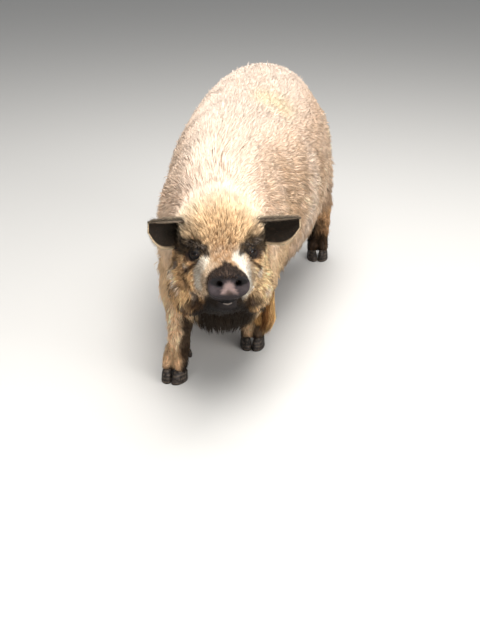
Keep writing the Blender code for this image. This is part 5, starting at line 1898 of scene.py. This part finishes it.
@dataclass
class Eyes:
    """The two eyeballs, with pupil, iris and a bulging cornea."""

    iris: float = math.radians(38)
    pupil: float = math.radians(17)
    bulge: float = 0.0010

    def build(self, material: bpy.types.Material, markings: Markings) -> None:
        """Builds and dresses both eyes."""
        for side in SIDES.values():
            ahead = HEAD.look(side)
            bm = bmesh.new()
            bmesh.ops.create_uvsphere(bm, u_segments=48, v_segments=32, radius=HEAD.eye_radius - 0.0002)
            turn = ahead.to_track_quat("Z", "Y").to_matrix().to_4x4()
            for vert in bm.verts:
                angle = vert.co.angle(Vector((0, 0, 1)), 0.0)
                if angle < self.iris:
                    vert.co *= 1 + self.bulge / HEAD.eye_radius * math.cos(angle / self.iris * math.pi / 2)
            bmesh.ops.transform(bm, matrix=Matrix.Translation(HEAD.eye_centre(side)) @ turn, verts=bm.verts)
            name = "eye_left" if side > 0 else "eye_right"
            eye = new_piece(f"{name}_ball", bm)
            rows = unit(places_of(eye.data) - np.array(HEAD.eye_centre(side)))
            angle = np.arccos(np.clip(rows @ np.array(ahead), -1, 1))
            paint(eye.data, "tint", markings.lay(
                markings.plain(markings.eye_white, rows),
                (markings.iris, smooth(angle, self.iris + 0.06, self.iris - 0.02)),
                (markings.pupil, smooth(angle, self.pupil + 0.05, self.pupil)),
            ))
            dress(eye, material, (name,))


@dataclass
class Feet:
    """The claws and dewclaws of all four feet."""

    length: float = 0.060
    width: float = 0.033
    splay: float = math.radians(7.0)
    # A claw's outline as shares of its width and length
    outline: tuple = (
        (-0.46, -0.40), (-0.22, -0.50), (0.12, -0.45), (0.36, -0.26), (0.49, 0.02),
        (0.45, 0.30), (0.22, 0.48), (-0.18, 0.50), (-0.44, 0.36), (-0.50, 0.00),
    )
    # Height at the toe, height at the heel, share of the full size, metres moved back
    rows: tuple = (
        (0.0, 0.0, 0.930, 0.0), (0.0012, 0.0012, 0.965, 0.0), (0.005, 0.005, 1.000, 0.0),
        (0.012, 0.010, 0.975, 0.001), (0.022, 0.016, 0.930, 0.003), (0.030, 0.021, 0.865, 0.006),
        (0.036, 0.024, 0.800, 0.009), (0.037, 0.025, 0.70, 0.010),
    )

    def claw(self, leg: Leg, side: int) -> bpy.types.Object:
        """One claw: a flat worn sole, a wall that slopes back from the toe, and a slanted coronet."""
        turn = Matrix.Rotation(-self.splay * side, 4, "Z")
        place = leg.frame() @ Matrix.Translation((side * leg.toe_spacing / 2, -0.016, 0.0)) @ turn
        shape = between([*self.outline, self.outline[0]], 4)[:-1]
        rings = []
        for toe, heel, share, back in between(list(self.rows), 2):
            points = []
            for x, y in shape:
                height = max(toe + (heel - toe) * (y + 0.5), 0.0)
                spot = Vector((side * x * self.width * share, y * self.length * share + back, height))
                points.append(place @ spot)
            rings.append(points)
        return loft(f"horn_{leg.name}", rings)

    def dewclaw(self, leg: Leg, side: int) -> bpy.types.Object:
        """One of the two small claws behind the fetlock, which hang clear of the floor."""
        stations = []
        for x, y, z, half, depth in (
            (0.012, 0.024, 0.084, 0.0075, 0.008), (0.020, 0.038, 0.071, 0.0090, 0.010),
            (0.024, 0.046, 0.058, 0.0080, 0.009), (0.026, 0.048, 0.047, 0.0045, 0.005),
        ):
            stations.append((*(leg.frame() @ Vector((side * x, y, z))), half, depth))
        return limb(f"horn_{leg.name}", stations, 4, 20)

    def build(self, material: bpy.types.Material) -> None:
        """Builds and dresses every claw."""
        for leg in LEGS.values():
            for side in SIDES.values():
                where = "outer" if (side > 0) == leg.name.endswith("left") else "inner"
                for kind, made in (("hoof", self.claw(leg, side)), ("dewclaw", self.dewclaw(leg, side))):
                    node = f"{kind}_{leg.name}_{where}"
                    made.name = f"{node}_horn"
                    dress(made, material, (node,))


@dataclass
class Studio:
    """The floor, the soft lights and the camera."""

    eye: Vector = Vector((0.6108, -3.1317, 1.50))
    yaw: float = math.radians(11)
    pitch: float = math.radians(25)
    lens: float = 64.69
    floor_colour: str = "#C9C6C1"
    sky_colour: str = "#E9EDF2"
    sky_strength: float = 0.35
    # Name, place, what it points at, side of its square, and power
    lights: tuple = (
        ("key", (0.3, -1.6, 3.1), (0, -0.1, 0.4), 1.8, 108),
        ("top", (0.3, 0.7, 3.2), (0, 0, 0.4), 2.4, 92),
        ("fill", (2.6, -1.6, 1.8), (0, 0, 0.4), 1.6, 56),
        ("low", (1.5, -3.0, 0.9), (0.08, -0.4, 0.2), 1.2, 24),
    )

    def floor(self) -> None:
        """A plain pale floor."""
        bm = bmesh.new()
        bmesh.ops.create_grid(bm, x_segments=1, y_segments=1, size=12)
        plane = new_piece("floor", bm)
        made = bpy.data.materials.new("painted_floor")
        made.use_nodes = True
        colour = (*linear(self.floor_colour), 1)
        fill(made.node_tree.nodes["Principled BSDF"], {"Base Color": colour, "Roughness": 0.9})
        plane.data.materials.append(made)

    def light(self, name: str, place: tuple, aim: tuple, size: float, power: float) -> None:
        """One soft square light that points at a place."""
        data = bpy.data.lights.new(name, "AREA")
        data.size, data.energy = size, power
        lamp = bpy.data.objects.new(name, data)
        lamp.location = place
        lamp.rotation_euler = (Vector(aim) - Vector(place)).to_track_quat("-Z", "Y").to_euler()
        bpy.context.scene.collection.objects.link(lamp)

    def build(self) -> None:
        """Sets up the whole studio."""
        self.floor()
        for row in self.lights:
            self.light(*row)
        world = bpy.data.worlds.new("soft_room")
        world.use_nodes = True
        sky = {"Color": (*linear(self.sky_colour), 1), "Strength": self.sky_strength}
        fill(world.node_tree.nodes["Background"], sky)
        bpy.context.scene.world = world
        # The coat's near-white keeps its warmth without a film curve
        bpy.context.scene.view_settings.view_transform = "Standard"
        data = bpy.data.cameras.new("camera")
        data.lens, data.sensor_width = self.lens, 36.0
        camera = bpy.data.objects.new("camera", data)
        camera.location = self.eye
        level = math.cos(self.pitch)
        look = Vector((-math.sin(self.yaw) * level, math.cos(self.yaw) * level, -math.sin(self.pitch)))
        camera.rotation_euler = look.to_track_quat("-Z", "Y").to_euler()
        bpy.context.scene.collection.objects.link(camera)
        bpy.context.scene.camera = camera


def corners(box: tuple[Vector, Vector]) -> list[list[float]]:
    """A box as plain lists of numbers."""
    return [[round(value, 5) for value in corner] for corner in box]


def main() -> None:
    """Loads the solids, and builds and dresses the pig over them."""
    logging.basicConfig(level=logging.INFO, format="%(name)s %(message)s")
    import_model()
    hair_look, skin_look = HairFinish().material(), SkinFinish().material()
    markings = Markings()
    body = Skin()
    skin = body.build(markings)
    coat = Coat(skin, markings)
    coat.build(hair_look)
    for side in SIDES.values():
        Ear(side).build(skin_look, hair_look, markings, coat)
    Eyes().build(EyeFinish().material(), markings)
    Feet().build(HornFinish().material())
    dress(skin, skin_look, body.nodes)
    Studio().build()
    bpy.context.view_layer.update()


if __name__ == "__main__":
    main()
